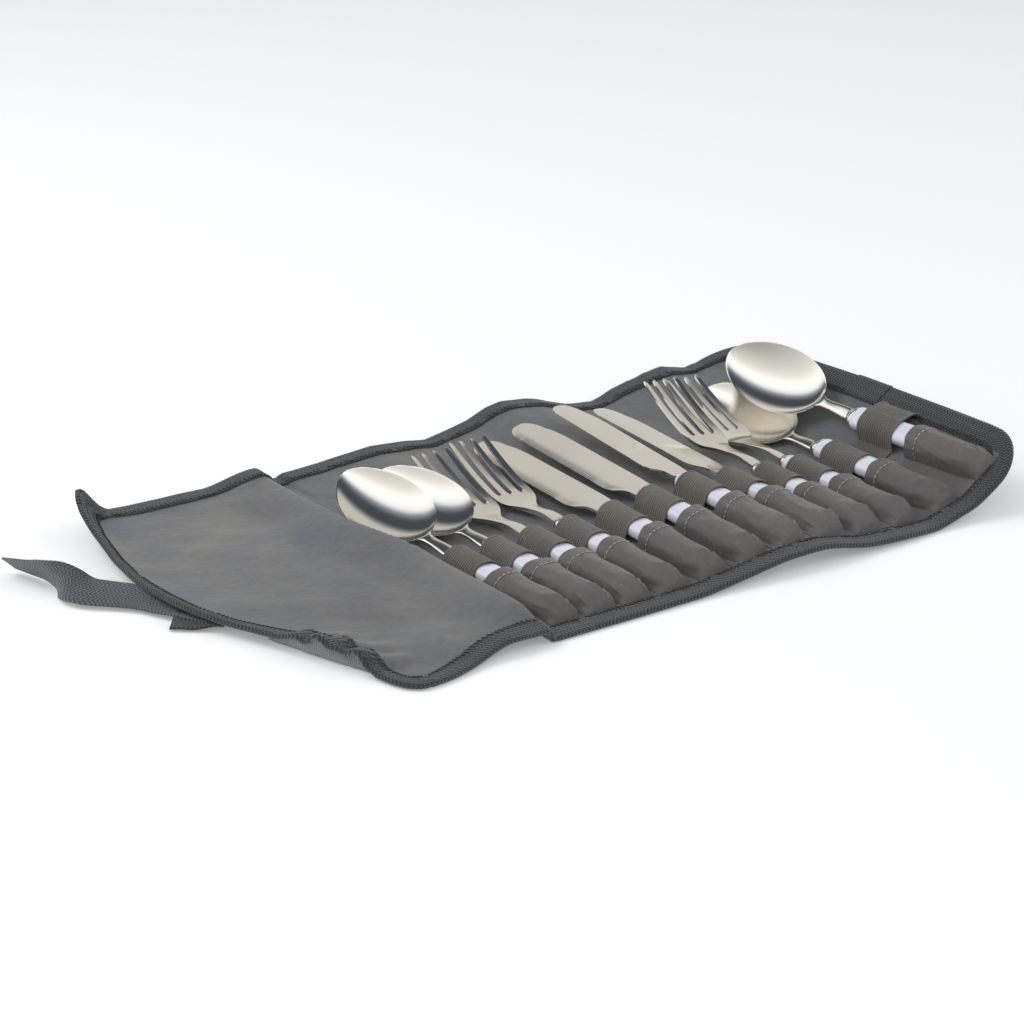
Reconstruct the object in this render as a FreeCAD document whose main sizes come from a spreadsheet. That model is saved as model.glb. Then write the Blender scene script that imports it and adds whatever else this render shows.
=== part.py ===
import FreeCAD, Part
import math
import os
import Sketcher
from FreeCAD import Placement, Rotation, Vector

# Roll-up cutlery organiser: a fabric wrap with eight stiff bays joined at sewn
# stitch lines, a wide closing flap with two webbing ties, and twelve place
# pieces (four spoons, four forks, four knives) that slide out along +Y.
# Millimetres.  +Z up, +X along the row of pieces, +Y towards blades and bowls;
# "near" is the -Y side and "far" the +Y side.  The flap lies at the -X end.
# Origin: centre of the flat underside of the first bay (two spoons).

os.makedirs("parts", exist_ok=True)
doc = FreeCAD.newDocument("cutlery_roll")
sheet = doc.addObject("Spreadsheet::Sheet", "Sheet")

CELLS = [
    # wrap: cloth, and the folded tape around its edge
    ("wrap_near", -132.0), ("wrap_far", 132.0), ("cloth", 2.0), ("tape_cover", 12.0),
    ("tape_top", 2.9), ("tape_leg", 0.6), ("seam_gap", 0.25), ("flange_gap", 1.0),
    ("slot_gap", 0.1), ("edge_inset", 2.0),
    # corners of the cross-section (x, height of the underside), left to right;
    # each seam is named after the number of pieces on its left
    ("crest_x", -43.0), ("crest_z", 10.5), ("ridge_x", -34.0), ("ridge_z", 4.5),
    ("foot_x", -23.0), ("foot_z", 0.0),
    ("seam_two_x", 22.5), ("seam_two_z", 0.0), ("seam_four_x", 70.0), ("seam_four_z", 0.5),
    ("seam_five_x", 96.0), ("seam_five_z", 3.8), ("seam_six_x", 122.0), ("seam_six_z", 7.5),
    ("seam_seven_x", 148.5), ("seam_seven_z", 8.2),
    ("seam_eight_x", 175.5), ("seam_eight_z", 2.8),
    ("seam_ten_x", 227.0), ("seam_ten_z", 0.0), ("seam_eleven_x", 255.5), ("seam_eleven_z", 7.0),
    ("seam_last_x", 285.0), ("seam_last_z", 28.0), ("rim_x", 294.8), ("rim_z", 35.0),
    ("rim_round", 26.0), ("window_round", 4.0),
    # pocket strip and elastic strip
    ("pocket_near", -119.4), ("pocket_mouth", -68.0),
    ("elastic_near", -57.0), ("elastic_far", -30.0),
    ("pocket_sheet", 0.8), ("elastic_sheet", 1.1), ("strip_lift", 2.1),
    ("arch_low", 8.4), ("arch_middle", 11.4), ("arch_top", 12.9),
    # handle
    ("handle_length", 88.0), ("handle_width", 14.5), ("handle_thickness", 9.2),
    ("handle_round", 4.2), ("handle_end_round", 1.8), ("handle_lift", 7.6),
    ("bore_radius", 3.35), ("bore_length", 30.0),
    # heads; lengths along Y count from the butt of the handle
    ("metal", 1.7), ("tang_width", 5.4), ("tang_start", 61.0), ("neck_width", 6.6),
    ("knife_length", 211.0), ("blade_width", 20.8), ("spine_x", 8.4),
    ("knife_thickness", 1.6), ("knife_tip_round", 5.0),
    ("fork_length", 186.5), ("fork_width", 24.4), ("tine_root", 143.0), ("tine_slot", 2.9),
    ("fork_shoulder", 131.0),
    ("bowl_start", 116.5), ("bowl_rim", 2.2), ("bowl_half_length", 34.0),
    ("bowl_half_width", 21.0), ("bowl_depth", 8.4), ("bowl_wall", 1.1), ("bowl_pitch", 13.0),
    # ties
    ("tie_x", -164.5), ("tie_thickness", 1.4), ("tie_lift", 2.2),
]

OVER = 1.0  # how far cutting and clipping tools reach past the solid


# ---------------------------------------------------------------- driving dimensions
class Dim:
    """A number together with the sheet expression that gives it."""

    def __init__(self, value, text=None):
        self.value = float(value)
        self.text = text if text is not None else "(%.6f)" % self.value
        self.fixed = text is None

    @staticmethod
    def of(item):
        return item if isinstance(item, Dim) else Dim(item)

    def _join(self, other, sign, value):
        if self.fixed and other.fixed:
            return Dim(value)
        return Dim(value, "(%s %s %s)" % (self.text, sign, other.text))

    def __add__(self, other):
        other = Dim.of(other)
        return self._join(other, "+", self.value + other.value)

    def __sub__(self, other):
        other = Dim.of(other)
        return self._join(other, "-", self.value - other.value)

    def __mul__(self, other):
        other = Dim.of(other)
        return self._join(other, "*", self.value * other.value)

    def __truediv__(self, other):
        other = Dim.of(other)
        return self._join(other, "/", self.value / other.value)

    def __radd__(self, other):
        return Dim.of(other) + self

    def __rsub__(self, other):
        return Dim.of(other) - self

    def __rmul__(self, other):
        return Dim.of(other) * self

    def __neg__(self):
        return 0 - self


class Sizes:
    """Holds one Dim for each alias of the sheet."""


size = Sizes()
for row, (alias, number) in enumerate(CELLS, start=1):
    sheet.set("A%d" % row, alias)
    sheet.set("B%d" % row, "%g" % number)
    sheet.setAlias("B%d" % row, alias)
    setattr(size, alias, Dim(number, "Sheet." + alias))
doc.recompute()


def bind(obj, prop, dim):
    dim = Dim.of(dim)
    if not dim.fixed:
        obj.setExpression(prop, dim.text)


def set_size(obj, prop, dim):
    setattr(obj, prop, Dim.of(dim).value)
    bind(obj, prop, dim)


# ---------------------------------------------------------------- sketches and solids
def draw(sketch, loops):
    """Closed polygons, every corner tied to the sketch origin by two distances."""
    for loop in loops:
        points = [(Dim.of(x), Dim.of(y)) for x, y in loop]
        first = sketch.GeometryCount
        count = len(points)
        for i in range(count):
            ends = [Vector(x.value, y.value, 0) for x, y in (points[i], points[(i + 1) % count])]
            sketch.addGeometry(Part.LineSegment(*ends), False)
        for i in range(count):
            following = first + (i + 1) % count
            sketch.addConstraint(Sketcher.Constraint("Coincident", first + i, 2, following, 1))
        for i in range(count):
            for axis, dim in zip("XY", points[i]):
                if abs(dim.value) < 1e-9 and dim.fixed:
                    # a zero distance becomes a point on the other axis
                    line = -2 if axis == "X" else -1
                    sketch.addConstraint(
                        Sketcher.Constraint("PointOnObject", first + i, 1, line))
                    continue
                index = sketch.addConstraint(
                    Sketcher.Constraint("Distance" + axis, -1, 1, first + i, 1, dim.value))
                bind(sketch, "Constraints[%d]" % index, dim)


# plane: (position along its normal axis, rotation of the sketch)
PLANES = {
    "XZ": ("y", Rotation(Vector(1, 0, 0), 90)),
    "YZ": ("x", Rotation(Vector(1, 1, 1), 120)),
    "XY": ("z", Rotation()),
}


def loose_sketch(name, plane, loop, position):
    """A document sketch of one loop, moved along the world axis normal to its plane."""
    axis, turn = PLANES[plane]
    sketch = doc.addObject("Sketcher::SketchObject", name)
    base = Vector()
    setattr(base, axis, Dim.of(position).value)
    sketch.Placement = Placement(base, turn)
    bind(sketch, "Placement.Base." + axis, position)
    draw(sketch, [loop])
    return sketch


def extrude(name, sketch, direction, length):
    solid = doc.addObject("Part::Extrusion", name)
    solid.Base = sketch
    solid.DirMode = "Custom"
    solid.Dir = direction
    solid.Solid = True
    set_size(solid, "LengthFwd", length)
    return solid


def band(name, line, low, high, near, far):
    """A layer between two heights over an XZ polyline, from near to far in Y."""
    lower = [(x, z + low) for x, z in line]
    upper = [(x, z + high) for x, z in reversed(line)]
    sketch = loose_sketch(name + "_profile", "XZ", lower + upper, near)
    return extrude(name + "_run", sketch, Vector(0, 1, 0), far - near)


def fuse(name, shapes):
    result = doc.addObject("Part::MultiFuse", name)
    result.Shapes = shapes
    return result


def boolean(kind, name, base, tool):
    """kind is Cut or Common."""
    result = doc.addObject("Part::" + kind, name)
    result.Base = base
    result.Tool = tool
    return result


def body_sketch(body, name, role, loops, offset=0.0):
    sketch = body.newObject("Sketcher::SketchObject", name)
    plane = [item for item in body.Origin.OriginFeatures if item.Role == role][0]
    sketch.AttachmentSupport = [(plane, "")]
    sketch.MapMode = "FlatFace"
    sketch.AttachmentOffset = Placement(Vector(0, 0, Dim.of(offset).value), Rotation())
    bind(sketch, "AttachmentOffset.Base.z", offset)
    draw(sketch, loops)
    return sketch


def add_feature(body, kind, name, sketch, length):
    """kind is Pad or Pocket."""
    feature = body.newObject("PartDesign::" + kind, name)
    feature.Profile = sketch
    set_size(feature, "Length", length)
    return feature


def add_fillet(body, name, base, radius, wanted):
    """Rounds the edges of base whose bounding box is wanted."""
    doc.recompute()
    edges = ["Edge%d" % i for i, edge in enumerate(base.Shape.Edges, start=1)
             if wanted(edge.BoundBox)]
    fillet = body.newObject("PartDesign::Fillet", name)
    fillet.Base = (base, edges)
    set_size(fillet, "Radius", radius)
    return fillet


def require_cut(base, pocket):
    doc.recompute()
    if not 0 < pocket.Shape.Volume < base.Shape.Volume:
        raise RuntimeError("nothing removed by " + pocket.Label)


nodes = []


def add_node(obj, label, place=None):
    """Names a finished piece and lists it for export."""
    obj.Label = label
    if place is not None:
        obj.Placement = place
    nodes.append(obj)


# ---------------------------------------------------------------- wrap, bays 1 to 7
WINDOW_OVER = 3.0  # reach of the tape window below and above the tape


def corners(*names):
    return [(getattr(size, name + "_x"), getattr(size, name + "_z")) for name in names]


sections = {
    "bay1": corners("crest", "ridge", "foot", "seam_two"),
    "bay2": corners("seam_two", "seam_four"),
    "bay3": corners("seam_four", "seam_five"),
    "bay4": corners("seam_five", "seam_six"),
    "bay5": corners("seam_six", "seam_seven"),
    "bay6": corners("seam_seven", "seam_eight"),
    "bay7": corners("seam_eight", "seam_ten"),
}
near, far = size.wrap_near, size.wrap_far
cloth, leg, tape_top = size.cloth, size.tape_leg, size.tape_top
cover, inset, gap = size.tape_cover, size.edge_inset, size.slot_gap


def start_gap(line):
    """The line with its left end drawn back from the stitch line."""
    return [(line[0][0] + size.seam_gap, line[0][1])] + line[1:]


def end_gap(line):
    """The line with its right end drawn back from the stitch line."""
    return line[:-1] + [(line[-1][0] - size.seam_gap, line[-1][1])]


def straight_bay(tag, line):
    """Panel and edge tape; thinner cloth runs inside the folded tape."""
    line = end_gap(start_gap(line))

    def layer(part, low, high, margin):
        return band(tag + "_" + part, line, low, high, near + margin, far - margin)

    middle = layer("mid", 0, cloth, cover + gap)
    thin = layer("thin", leg + gap, cloth, inset)
    add_node(fuse(tag + "_cloth", [middle, thin]), tag + "_panel")
    slab = layer("slab", 0, tape_top, 0)
    void = layer("void", leg, cloth + gap, inset - gap)
    window = layer("window", -WINDOW_OVER, tape_top + WINDOW_OVER, cover)
    tape = boolean("Cut", tag + "_tapecut", slab, fuse(tag + "_voids", [void, window]))
    add_node(tape, tag + "_edge_tape")


for bay, section in sections.items():
    straight_bay(bay, section)


# ---------------------------------------------------------------- wrap, bay 8 and flap
def shaped_panel(tag, line, plans):
    """Panel and edge tape whose layers are clipped by prisms in plan."""

    def layer(part, low, high):
        wide = band(tag + "_" + part, line, low, high, near - OVER, far + OVER)
        return boolean("Common", tag + "_" + part + "_clip", wide, plans[part])

    middle = layer("mid", 0, cloth)
    thin = layer("thin", leg + gap, cloth)
    add_node(fuse(tag + "_cloth", [middle, thin]), tag + "_panel")
    slab = layer("slab", 0, tape_top)
    void = layer("void", leg, cloth + gap)
    folded = boolean("Cut", tag + "_folded", slab, void)
    add_node(boolean("Cut", tag + "_tapecut", folded, plans["window"]), tag + "_edge_tape")


RIM_PRISM_Z = -20.0
RIM_PRISM_HEIGHT = 80.0
RIM_SLOPE = 0.82  # plan width per unit of tape on the sloping rim


def rim_prism(part, left, margin_x, margin_y, radius):
    """Tall prism of bay 8 with its two right-hand corners rounded."""
    right = size.rim_x - margin_x
    front = near + margin_y
    box = doc.addObject("Part::Box", "rim_" + part + "_box")
    set_size(box, "Length", right - left)
    set_size(box, "Width", far - margin_y - front)
    box.Height = RIM_PRISM_HEIGHT
    box.Placement = Placement(Vector(left.value, front.value, RIM_PRISM_Z), Rotation())
    bind(box, "Placement.Base.x", left)
    bind(box, "Placement.Base.y", front)
    doc.recompute()
    edges = []
    for i, edge in enumerate(box.Shape.Edges, start=1):
        bounds = edge.BoundBox
        if bounds.ZLength > 50 and abs(bounds.XMin - right.value) < 1e-6:
            edges.append((i, radius.value, radius.value))
    prism = doc.addObject("Part::Fillet", "rim_" + part)
    prism.Base = box
    prism.Edges = edges
    return prism


rim_left = size.seam_ten_x + size.seam_gap
rim_cover = cover * RIM_SLOPE
# part: left side, margin at the right, margin near and far, corner radius
RIM_PLANS = {
    "slab": (rim_left, 0, 0, size.rim_round),
    "thin": (rim_left, inset, inset, size.rim_round - inset),
    "void": (rim_left - OVER, inset - gap, inset - gap, size.rim_round - inset + gap),
    "mid": (rim_left, rim_cover + gap, cover + gap, size.window_round),
    "window": (rim_left - OVER, rim_cover, cover, size.window_round),
}
shaped_panel("bay8", start_gap(corners("seam_ten", "seam_eleven", "seam_last", "rim")),
             {part: rim_prism(part, *plan) for part, plan in RIM_PLANS.items()})

# underside of the flap, (x, z), up to the crest
FLAP_SECTION = [(-161.0, 9.0), (-144.0, 6.0), (-119.0, 4.0), (-84.0, 4.0), (-60.0, 7.0)]
# left outline of the flap, (x, y), near to far
FLAP_OUTLINE = [
    (-112.0, -132.0), (-119.0, -108.0), (-129.0, -80.0), (-142.0, -50.0), (-152.5, -22.0),
    (-158.5, 8.0), (-159.0, 45.0), (-155.0, 80.0), (-147.0, 110.0), (-137.0, 132.0),
]
FLAP_PRISM_Z = -10.0
FLAP_PRISM_HEIGHT = 50.0
SLANT = 1.04         # x shift per unit of margin on the slanting outline
CORNER_SHIFT = 0.25  # extra x shift per unit that a point is moved in y


def flap_prism(part, margin, right):
    """Prism on the flap outline moved inwards, clipped at the near and far edges."""
    margin = Dim.of(margin).value
    points = []
    for x, y in FLAP_OUTLINE:
        clipped = min(max(y, near.value + margin), far.value - margin)
        points.append((x + margin * SLANT + CORNER_SHIFT * abs(clipped - y), clipped))
    loop = [(right, points[0][1])] + points + [(right, points[-1][1])]
    sketch = loose_sketch("flap_" + part + "_plan", "XY", loop, FLAP_PRISM_Z)
    return extrude("flap_" + part + "_prism", sketch, Vector(0, 0, 1), FLAP_PRISM_HEIGHT)


flap_line = end_gap(FLAP_SECTION + corners("crest"))
flap_right = flap_line[-1][0]
# part: margin, right side
FLAP_PLANS = {
    "slab": (0, flap_right),
    "thin": (inset, flap_right),
    "void": (inset - gap, flap_right + OVER),
    "mid": (cover + gap, flap_right),
    "window": (cover, flap_right + OVER),
}
shaped_panel("flap", flap_line,
             {part: flap_prism(part, *plan) for part, plan in FLAP_PLANS.items()})

# ---------------------------------------------------------------- webbing ties
# plan outlines, (x, y), of two flat strips left of the flap
tie_x = size.tie_x
TIES = {
    "tie_long": [
        (tie_x, -24.0), (tie_x, 3.0), (-173.0, 27.0), (-186.0, 53.0), (-192.0, 80.0),
        (-195.5, 108.0), (-207.5, 106.0), (-209.5, 78.0), (-205.0, 47.0), (-192.0, 15.0),
        (-180.0, -14.0),
    ],
    "tie_short": [
        (tie_x, -34.0), (-174.0, -38.0), (-178.0, -22.5), (-172.5, -20.8),
        (tie_x - 0.5, -27.5),
    ],
}
for tie, outline in TIES.items():
    sketch = loose_sketch(tie + "_plan", "XY", outline, size.tie_lift)
    add_node(extrude(tie + "_web", sketch, Vector(0, 0, 1), size.tie_thickness), tie)

# ---------------------------------------------------------------- layout of the pieces
# straight stretch of cloth under the pieces: left end, right end
FOOT_OFFSET = 0.5
facets = dict(
    sections,
    bay1=[(size.foot_x + FOOT_OFFSET, size.foot_z)] + corners("seam_two"),
    bay8a=corners("seam_ten", "seam_eleven"),
    bay8b=corners("seam_eleven", "seam_last"),
)

# name, facet, x of the axis along the facet, yaw towards +X (degrees),
# pull towards +Y, roll of the head (degrees), rise of the head
PIECES = [
    ("spoon1", "bay1", 11.2, -1.5, 0.0, 17.0, 1.8),
    ("spoon2", "bay1", 33.7, -1.0, 0.0, 17.0, -1.2),
    ("fork1", "bay2", 11.6, 0.0, 0.0, 0.0, 0.0),
    ("fork2", "bay2", 34.5, 0.7, 2.5, 0.0, 0.0),
    ("knife1", "bay3", 13.9, 1.8, 0.6, 0.0, 0.0),
    ("knife2", "bay4", 13.4, 1.6, 0.0, 0.0, 0.0),
    ("knife3", "bay5", 13.2, 2.4, 4.0, 0.0, 0.0),
    ("knife4", "bay6", 13.0, 2.0, 0.0, 0.0, 0.0),
    ("fork3", "bay7", 12.6, 3.4, 3.0, 0.0, 6.0),
    ("fork4", "bay7", 38.2, 1.2, 6.0, 0.0, 3.9),
    ("spoon3", "bay8a", 16.2, -0.2, 8.5, 8.0, -4.4),
    ("spoon4", "bay8b", 20.6, -1.6, 8.5, 2.0, 4.6),
]


def facet_frame(facet, y=0.0):
    """Local frame: origin at the left end of the facet, local X along the cloth."""
    (x0, z0), (x1, z1) = facets[facet]
    slope = math.degrees(math.atan2(z1.value - z0.value, x1.value - x0.value))
    return Placement(Vector(x0.value, y, z0.value), Rotation(Vector(0, 1, 0), -slope))


# ---------------------------------------------------------------- pockets and elastic
ARCH_FOOT = 0.6        # flat sheet beside each arch
POCKET_WALL = 1.0      # closed near end of each pocket
POCKET_SLACK = 0.45    # room at each side of a handle
POCKET_SWING = 30.0    # half-length over which a yawed handle needs room
ELASTIC_SLACK = 0.35
ELASTIC_YAW_SLACK = 0.25  # per degree of yaw
ELASTIC_REACH = 53.0   # from where the axis meets its x, along Y to the elastic
END_TRIM = 2.8         # taken off the right end of the strips of bay8b
# foot to crown: fraction of the half-width, height, growth sideways, growth upwards
ARCH = [
    (1.0, size.arch_low, 1.0, 0.3),
    (0.86, size.arch_middle, 0.9, 0.6),
    (0.5, size.arch_top, 0.5, 1.0),
]


def arch(centre, half_width, growth):
    """Faceted profile over one handle, from left foot to right foot."""
    side = [(half_width * part + growth * outwards, height + growth * upwards)
            for part, height, outwards, upwards in ARCH]
    left = [(centre - x, z) for x, z in side]
    return left + [(centre + x, z) for x, z in reversed(side)]


def arched_strip(tag, width, arches, thickness, length, hollow_start):
    """Strip that lies flat between the pieces and arches over each of them."""
    body = doc.addObject("PartDesign::Body", tag + "_body")
    bottom = size.strip_lift
    top = bottom + thickness
    left, right = size.flange_gap, width - size.flange_gap
    outline = [(left, bottom), (left, top)]
    hollows = []
    for centre, half_width in arches:
        outline.append((centre - half_width - thickness - ARCH_FOOT, top))
        outline += arch(centre, half_width, thickness)
        outline.append((centre + half_width + thickness + ARCH_FOOT, top))
        hollows.append([(centre - half_width, bottom - OVER)]
                       + arch(centre, half_width, 0)
                       + [(centre + half_width, bottom - OVER)])
    outline += [(right, top), (right, bottom)]
    sketch = body_sketch(body, tag + "_outline", "XZ_Plane", [outline])
    pad = add_feature(body, "Pad", tag + "_pad", sketch, length)
    pad.Reversed = True
    doc.recompute()
    # the normal of the XZ plane is -Y, so a negative offset lies towards +Y
    sketch = body_sketch(body, tag + "_hollow", "XZ_Plane", hollows, -hollow_start)
    pocket = add_feature(body, "Pocket", tag + "_tunnel", sketch, length + 2 * OVER)
    require_cut(pad, pocket)
    return body


# strip: sheet thickness, near end, far end, start of the hollow from the near end
STRIPS = {
    "pockets": (size.pocket_sheet, size.pocket_near, size.pocket_mouth, POCKET_WALL),
    "elastic": (size.elastic_sheet, size.elastic_near, size.elastic_far, -OVER),
}
half_handle = size.handle_width / 2
bay8_strips = {"pockets": [], "elastic": []}
for facet, ((x0, z0), (x1, z1)) in facets.items():
    width = math.hypot(x1.value - x0.value, z1.value - z0.value)
    if facet == "bay8b":
        width -= END_TRIM
    arches = {"pockets": [], "elastic": []}
    for _, home, axis_x, yaw, _, _, _ in PIECES:
        if home != facet:
            continue
        drift = math.tan(math.radians(yaw))
        arches["pockets"].append(
            (axis_x, half_handle + (abs(drift) * POCKET_SWING + POCKET_SLACK)))
        arches["elastic"].append(
            (axis_x + ELASTIC_REACH * drift,
             half_handle + ELASTIC_SLACK + ELASTIC_YAW_SLACK * abs(yaw)))
    for kind, (thickness, start, end, hollow_start) in STRIPS.items():
        label = facet + "_" + kind
        strip = arched_strip(label, width, arches[kind], thickness, end - start, hollow_start)
        place = facet_frame(facet, start.value)
        if facet.startswith("bay8"):
            strip.Placement = place
            bay8_strips[kind].append(strip)
        else:
            add_node(strip, label, place)
for kind, strips in bay8_strips.items():
    group = doc.addObject("Part::Compound", "bay8_" + kind)
    group.Links = strips
    add_node(group, "bay8_" + kind)


# ---------------------------------------------------------------- handles
def make_handle(tag):
    """Rounded bar from the butt at y = 0, bored from its far end for the tang."""
    body = doc.addObject("PartDesign::Body", tag + "_grip")
    half_height = size.handle_thickness / 2
    section = [(-half_handle, -half_height), (half_handle, -half_height),
               (half_handle, half_height), (-half_handle, half_height)]
    sketch = body_sketch(body, tag + "_section", "XZ_Plane", [section])
    pad = add_feature(body, "Pad", tag + "_bar", sketch, size.handle_length)
    pad.Reversed = True
    sides = add_fillet(body, tag + "_round", pad, size.handle_round,
                       lambda bounds: bounds.YLength > 50)
    ends = add_fillet(body, tag + "_ends", sides, size.handle_end_round,
                      lambda bounds: bounds.YLength < 1e-5)
    doc.recompute()
    sketch = body_sketch(body, tag + "_mouth", "XZ_Plane", [], -size.handle_length)
    radius = size.bore_radius
    sketch.addGeometry(Part.Circle(Vector(0, 0, 0), Vector(0, 0, 1), radius.value), False)
    sketch.addConstraint(Sketcher.Constraint("Coincident", 0, 3, -1, 1))
    index = sketch.addConstraint(Sketcher.Constraint("Radius", 0, radius.value))
    bind(sketch, "Constraints[%d]" % index, radius)
    bore = add_feature(body, "Pocket", tag + "_bore", sketch, size.bore_length)
    bore.Reversed = True
    require_cut(ends, bore)
    return body


# ---------------------------------------------------------------- heads
HEAD_PRISM_Z = -12.0
HEAD_PRISM_HEIGHT = 57.0
FORK_SHEET_HALF = 14.0  # half-widths of the bent sheets before they are clipped in plan
NECK_SHEET_HALF = 8.0
BOWL_HOLLOW_TOP = 12.0  # upper latitude of the hollow, above the bowl's rim plane

half_tang = size.tang_width / 2
half_neck = size.neck_width / 2
half_metal = size.metal / 2
tang = size.tang_start
front = size.handle_length  # far end of the handle


def mirrored(right):
    """The same points on the -X side, in reverse order."""
    return [(-x, y) for x, y in reversed(right)]


def bent_sheet(name, tag, outline, profile, half_width):
    """Sheet of constant thickness along a (y, z) line, clipped to an (x, y) outline."""
    plan = loose_sketch(tag + "_plan", "XY", outline, HEAD_PRISM_Z)
    prism = extrude(tag + "_prism", plan, Vector(0, 0, 1), HEAD_PRISM_HEIGHT)
    low = [(y, z - half_metal) for y, z in profile]
    high = [(y, z + half_metal) for y, z in reversed(profile)]
    side = loose_sketch(tag + "_side", "YZ", low + high, -half_width)
    bent = extrude(tag + "_sheet", side, Vector(1, 0, 0), 2 * half_width)
    return boolean("Common", name, prism, bent)


def make_knife(tag):
    body = doc.addObject("PartDesign::Body", tag + "_blade")
    spine, tip = size.spine_x, size.knife_length
    edge = spine - size.blade_width
    # plan outline, (x, y)
    outline = [
        (-half_tang, tang), (half_tang, tang), (half_tang, front + 1.0),
        (spine - 2.6, front + 2.6), (spine - 0.4, front + 8.0), (spine, front + 18.0),
        (spine, tip - 34.0), (spine - 1.6, tip - 18.0), (spine - 6.0, tip - 6.0),
        (spine - 11.5, tip), (spine - 16.5, tip - 3.0), (edge + 0.8, tip - 11.0),
        (edge, tip - 24.0), (edge, front + 24.0), (edge + 1.8, front + 17.0),
        (edge + 5.6, front + 13.0), (edge + 7.0, front + 8.0), (edge + 7.4, front + 2.6),
        (-half_tang, front + 1.0),
    ]
    sketch = body_sketch(body, tag + "_outline", "XY_Plane", [outline])
    pad = add_feature(body, "Pad", tag + "_pad", sketch, size.knife_thickness)
    pad.Midplane = True
    add_fillet(body, tag + "_tip", pad, size.knife_tip_round,
               lambda bounds: bounds.ZLength > 1
               and tip.value - 20 < bounds.YMin < tip.value + 1)
    return body


def make_fork(tag):
    half, tip = size.fork_width / 2, size.fork_length
    root, slot, shoulder = size.tine_root, size.tine_slot, size.fork_shoulder
    tine = (size.fork_width - slot * 3) / 4
    tip_step = 0.45    # each tine narrows by this much at each side of its tip
    slot_round = 2.0   # depth of the pointed end of each slot
    # right side, (x, y), from the tang to the outer tine
    right = [
        (half_tang, tang), (half_tang, front + 1.0), (half_neck + 0.7, front + 2.0),
        (half_neck + 0.5, front + 10.0), (half_neck - 0.4, front + 24.0),
        (half_neck + 1.6, shoulder - 7.0), (half - 2.6, shoulder - 1.0),
        (half - 0.3, shoulder + 5.0), (half, shoulder + 12.0),
    ]
    tines = []
    for i in range(4):
        outer = half - i * (tine + slot)
        inner = outer - tine
        # drop of the tip and of its corners below the full length
        tip_drop, corner_drop = (0.0, 1.0) if i in (1, 2) else (0.5, 1.6)
        tines += [(outer - tip_step, tip - corner_drop),
                  ((outer + inner) / 2, tip - tip_drop),
                  (inner + tip_step, tip - corner_drop)]
        if i < 3:
            tines += [(inner, root + slot_round), (inner - slot / 2, root),
                      (inner - slot, root + slot_round)]
    # centre line of the sheet, (y, z)
    profile = [
        (tang, 0.0), (front + 4.0, 0.0), (front + 16.0, 0.3), (front + 30.0, -1.8),
        (shoulder + 1.0, -2.6), (shoulder + 14.0, -0.8), (shoulder + 27.0, 3.0),
        (shoulder + 39.0, 7.6), (shoulder + 49.0, 11.9), (tip + 1.0, 15.4),
    ]
    outline = right + tines + mirrored(right)
    return bent_sheet(tag + "_head", tag, outline, profile, FORK_SHEET_HALF)


def make_spoon(tag):
    start, rim = size.bowl_start, size.bowl_rim
    # right side of the neck, (x, y)
    right = [
        (half_tang, tang), (half_tang, front + 1.0), (half_neck + 0.9, front + 2.0),
        (half_neck + 0.6, front + 10.0), (half_neck - 0.4, start - 8.0),
        (half_neck + 0.8, start + 1.0),
    ]
    # centre line of the neck, (y, z)
    profile = [
        (tang, 0.0), (front + 4.0, 0.0), (front + 14.0, 0.4),
        (start - 4.0, rim - half_metal - 0.9), (start + 1.6, rim - half_metal),
    ]
    neck = bent_sheet(tag + "_neck", tag, right + mirrored(right), profile, NECK_SHEET_HALF)

    # the bowl is the lower half of an ellipsoid, pitched up about its near end
    pitch = size.bowl_pitch.value
    reach = size.bowl_half_length.value
    centre = Vector(0, start.value + reach * math.cos(math.radians(pitch)),
                    rim.value + reach * math.sin(math.radians(pitch)))
    shells = []
    for part, wall, top in (("out", 0, 0), ("in", size.bowl_wall, BOWL_HOLLOW_TOP)):
        shell = doc.addObject("Part::Ellipsoid", tag + "_bowl_" + part)
        set_size(shell, "Radius1", size.bowl_depth - wall)
        set_size(shell, "Radius2", size.bowl_half_width - wall)
        set_size(shell, "Radius3", size.bowl_half_length - wall)
        shell.Angle1 = -90
        shell.Angle2 = top
        shell.Angle3 = 360
        shell.Placement = Placement(centre, Rotation(Vector(1, 0, 0), pitch))
        shells.append(shell)
    bowl = boolean("Cut", tag + "_bowl", *shells)
    return fuse(tag + "_head", [bowl, neck])


# ---------------------------------------------------------------- placing the pieces
BUTT_Y = -118.2      # butt of a handle that is not pulled out
YAW_PIVOT = 21.5     # from BUTT_Y to where the axis crosses its x on the facet
TILT_HINGE = 76.0    # y in the piece about which a raised head tilts
TILT_ARM = 74.0      # length over which the head gains its rise

make_head = {"spoon": make_spoon, "fork": make_fork, "knife": make_knife}
for name, facet, axis_x, yaw, pull, roll, rise in PIECES:
    butt_x = axis_x - math.tan(math.radians(yaw)) * (YAW_PIVOT - pull)
    seat = Placement(Vector(butt_x, BUTT_Y + pull, size.handle_lift.value),
                     Rotation(Vector(0, 0, 1), -yaw))
    place = facet_frame(facet) * seat
    tilt = Placement(Vector(0, 0, 0),
                     Rotation(Vector(1, 0, 0), math.degrees(math.atan2(rise, TILT_ARM))),
                     Vector(0, TILT_HINGE, 0))
    turn = Placement(Vector(0, 0, 0), Rotation(Vector(0, 1, 0), -roll))
    head = make_head[name.rstrip("1234")](name)
    add_node(make_handle(name), name + "_handle", place)
    add_node(head, name + "_head", place * tilt * turn)

doc.recompute()

# ---------------------------------------------------------------- export
failed = [obj.Name for obj in doc.Objects if "Invalid" in obj.State or "Error" in obj.State]
if failed:
    raise RuntimeError("failed objects: " + ", ".join(failed))
for obj in nodes:
    if obj.Shape.isNull() or not obj.Shape.isValid() or not obj.Shape.Solids:
        raise RuntimeError("bad shape: " + obj.Label)
for obj in nodes:
    obj.Shape.exportStep("parts/" + obj.Label + ".step")
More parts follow.
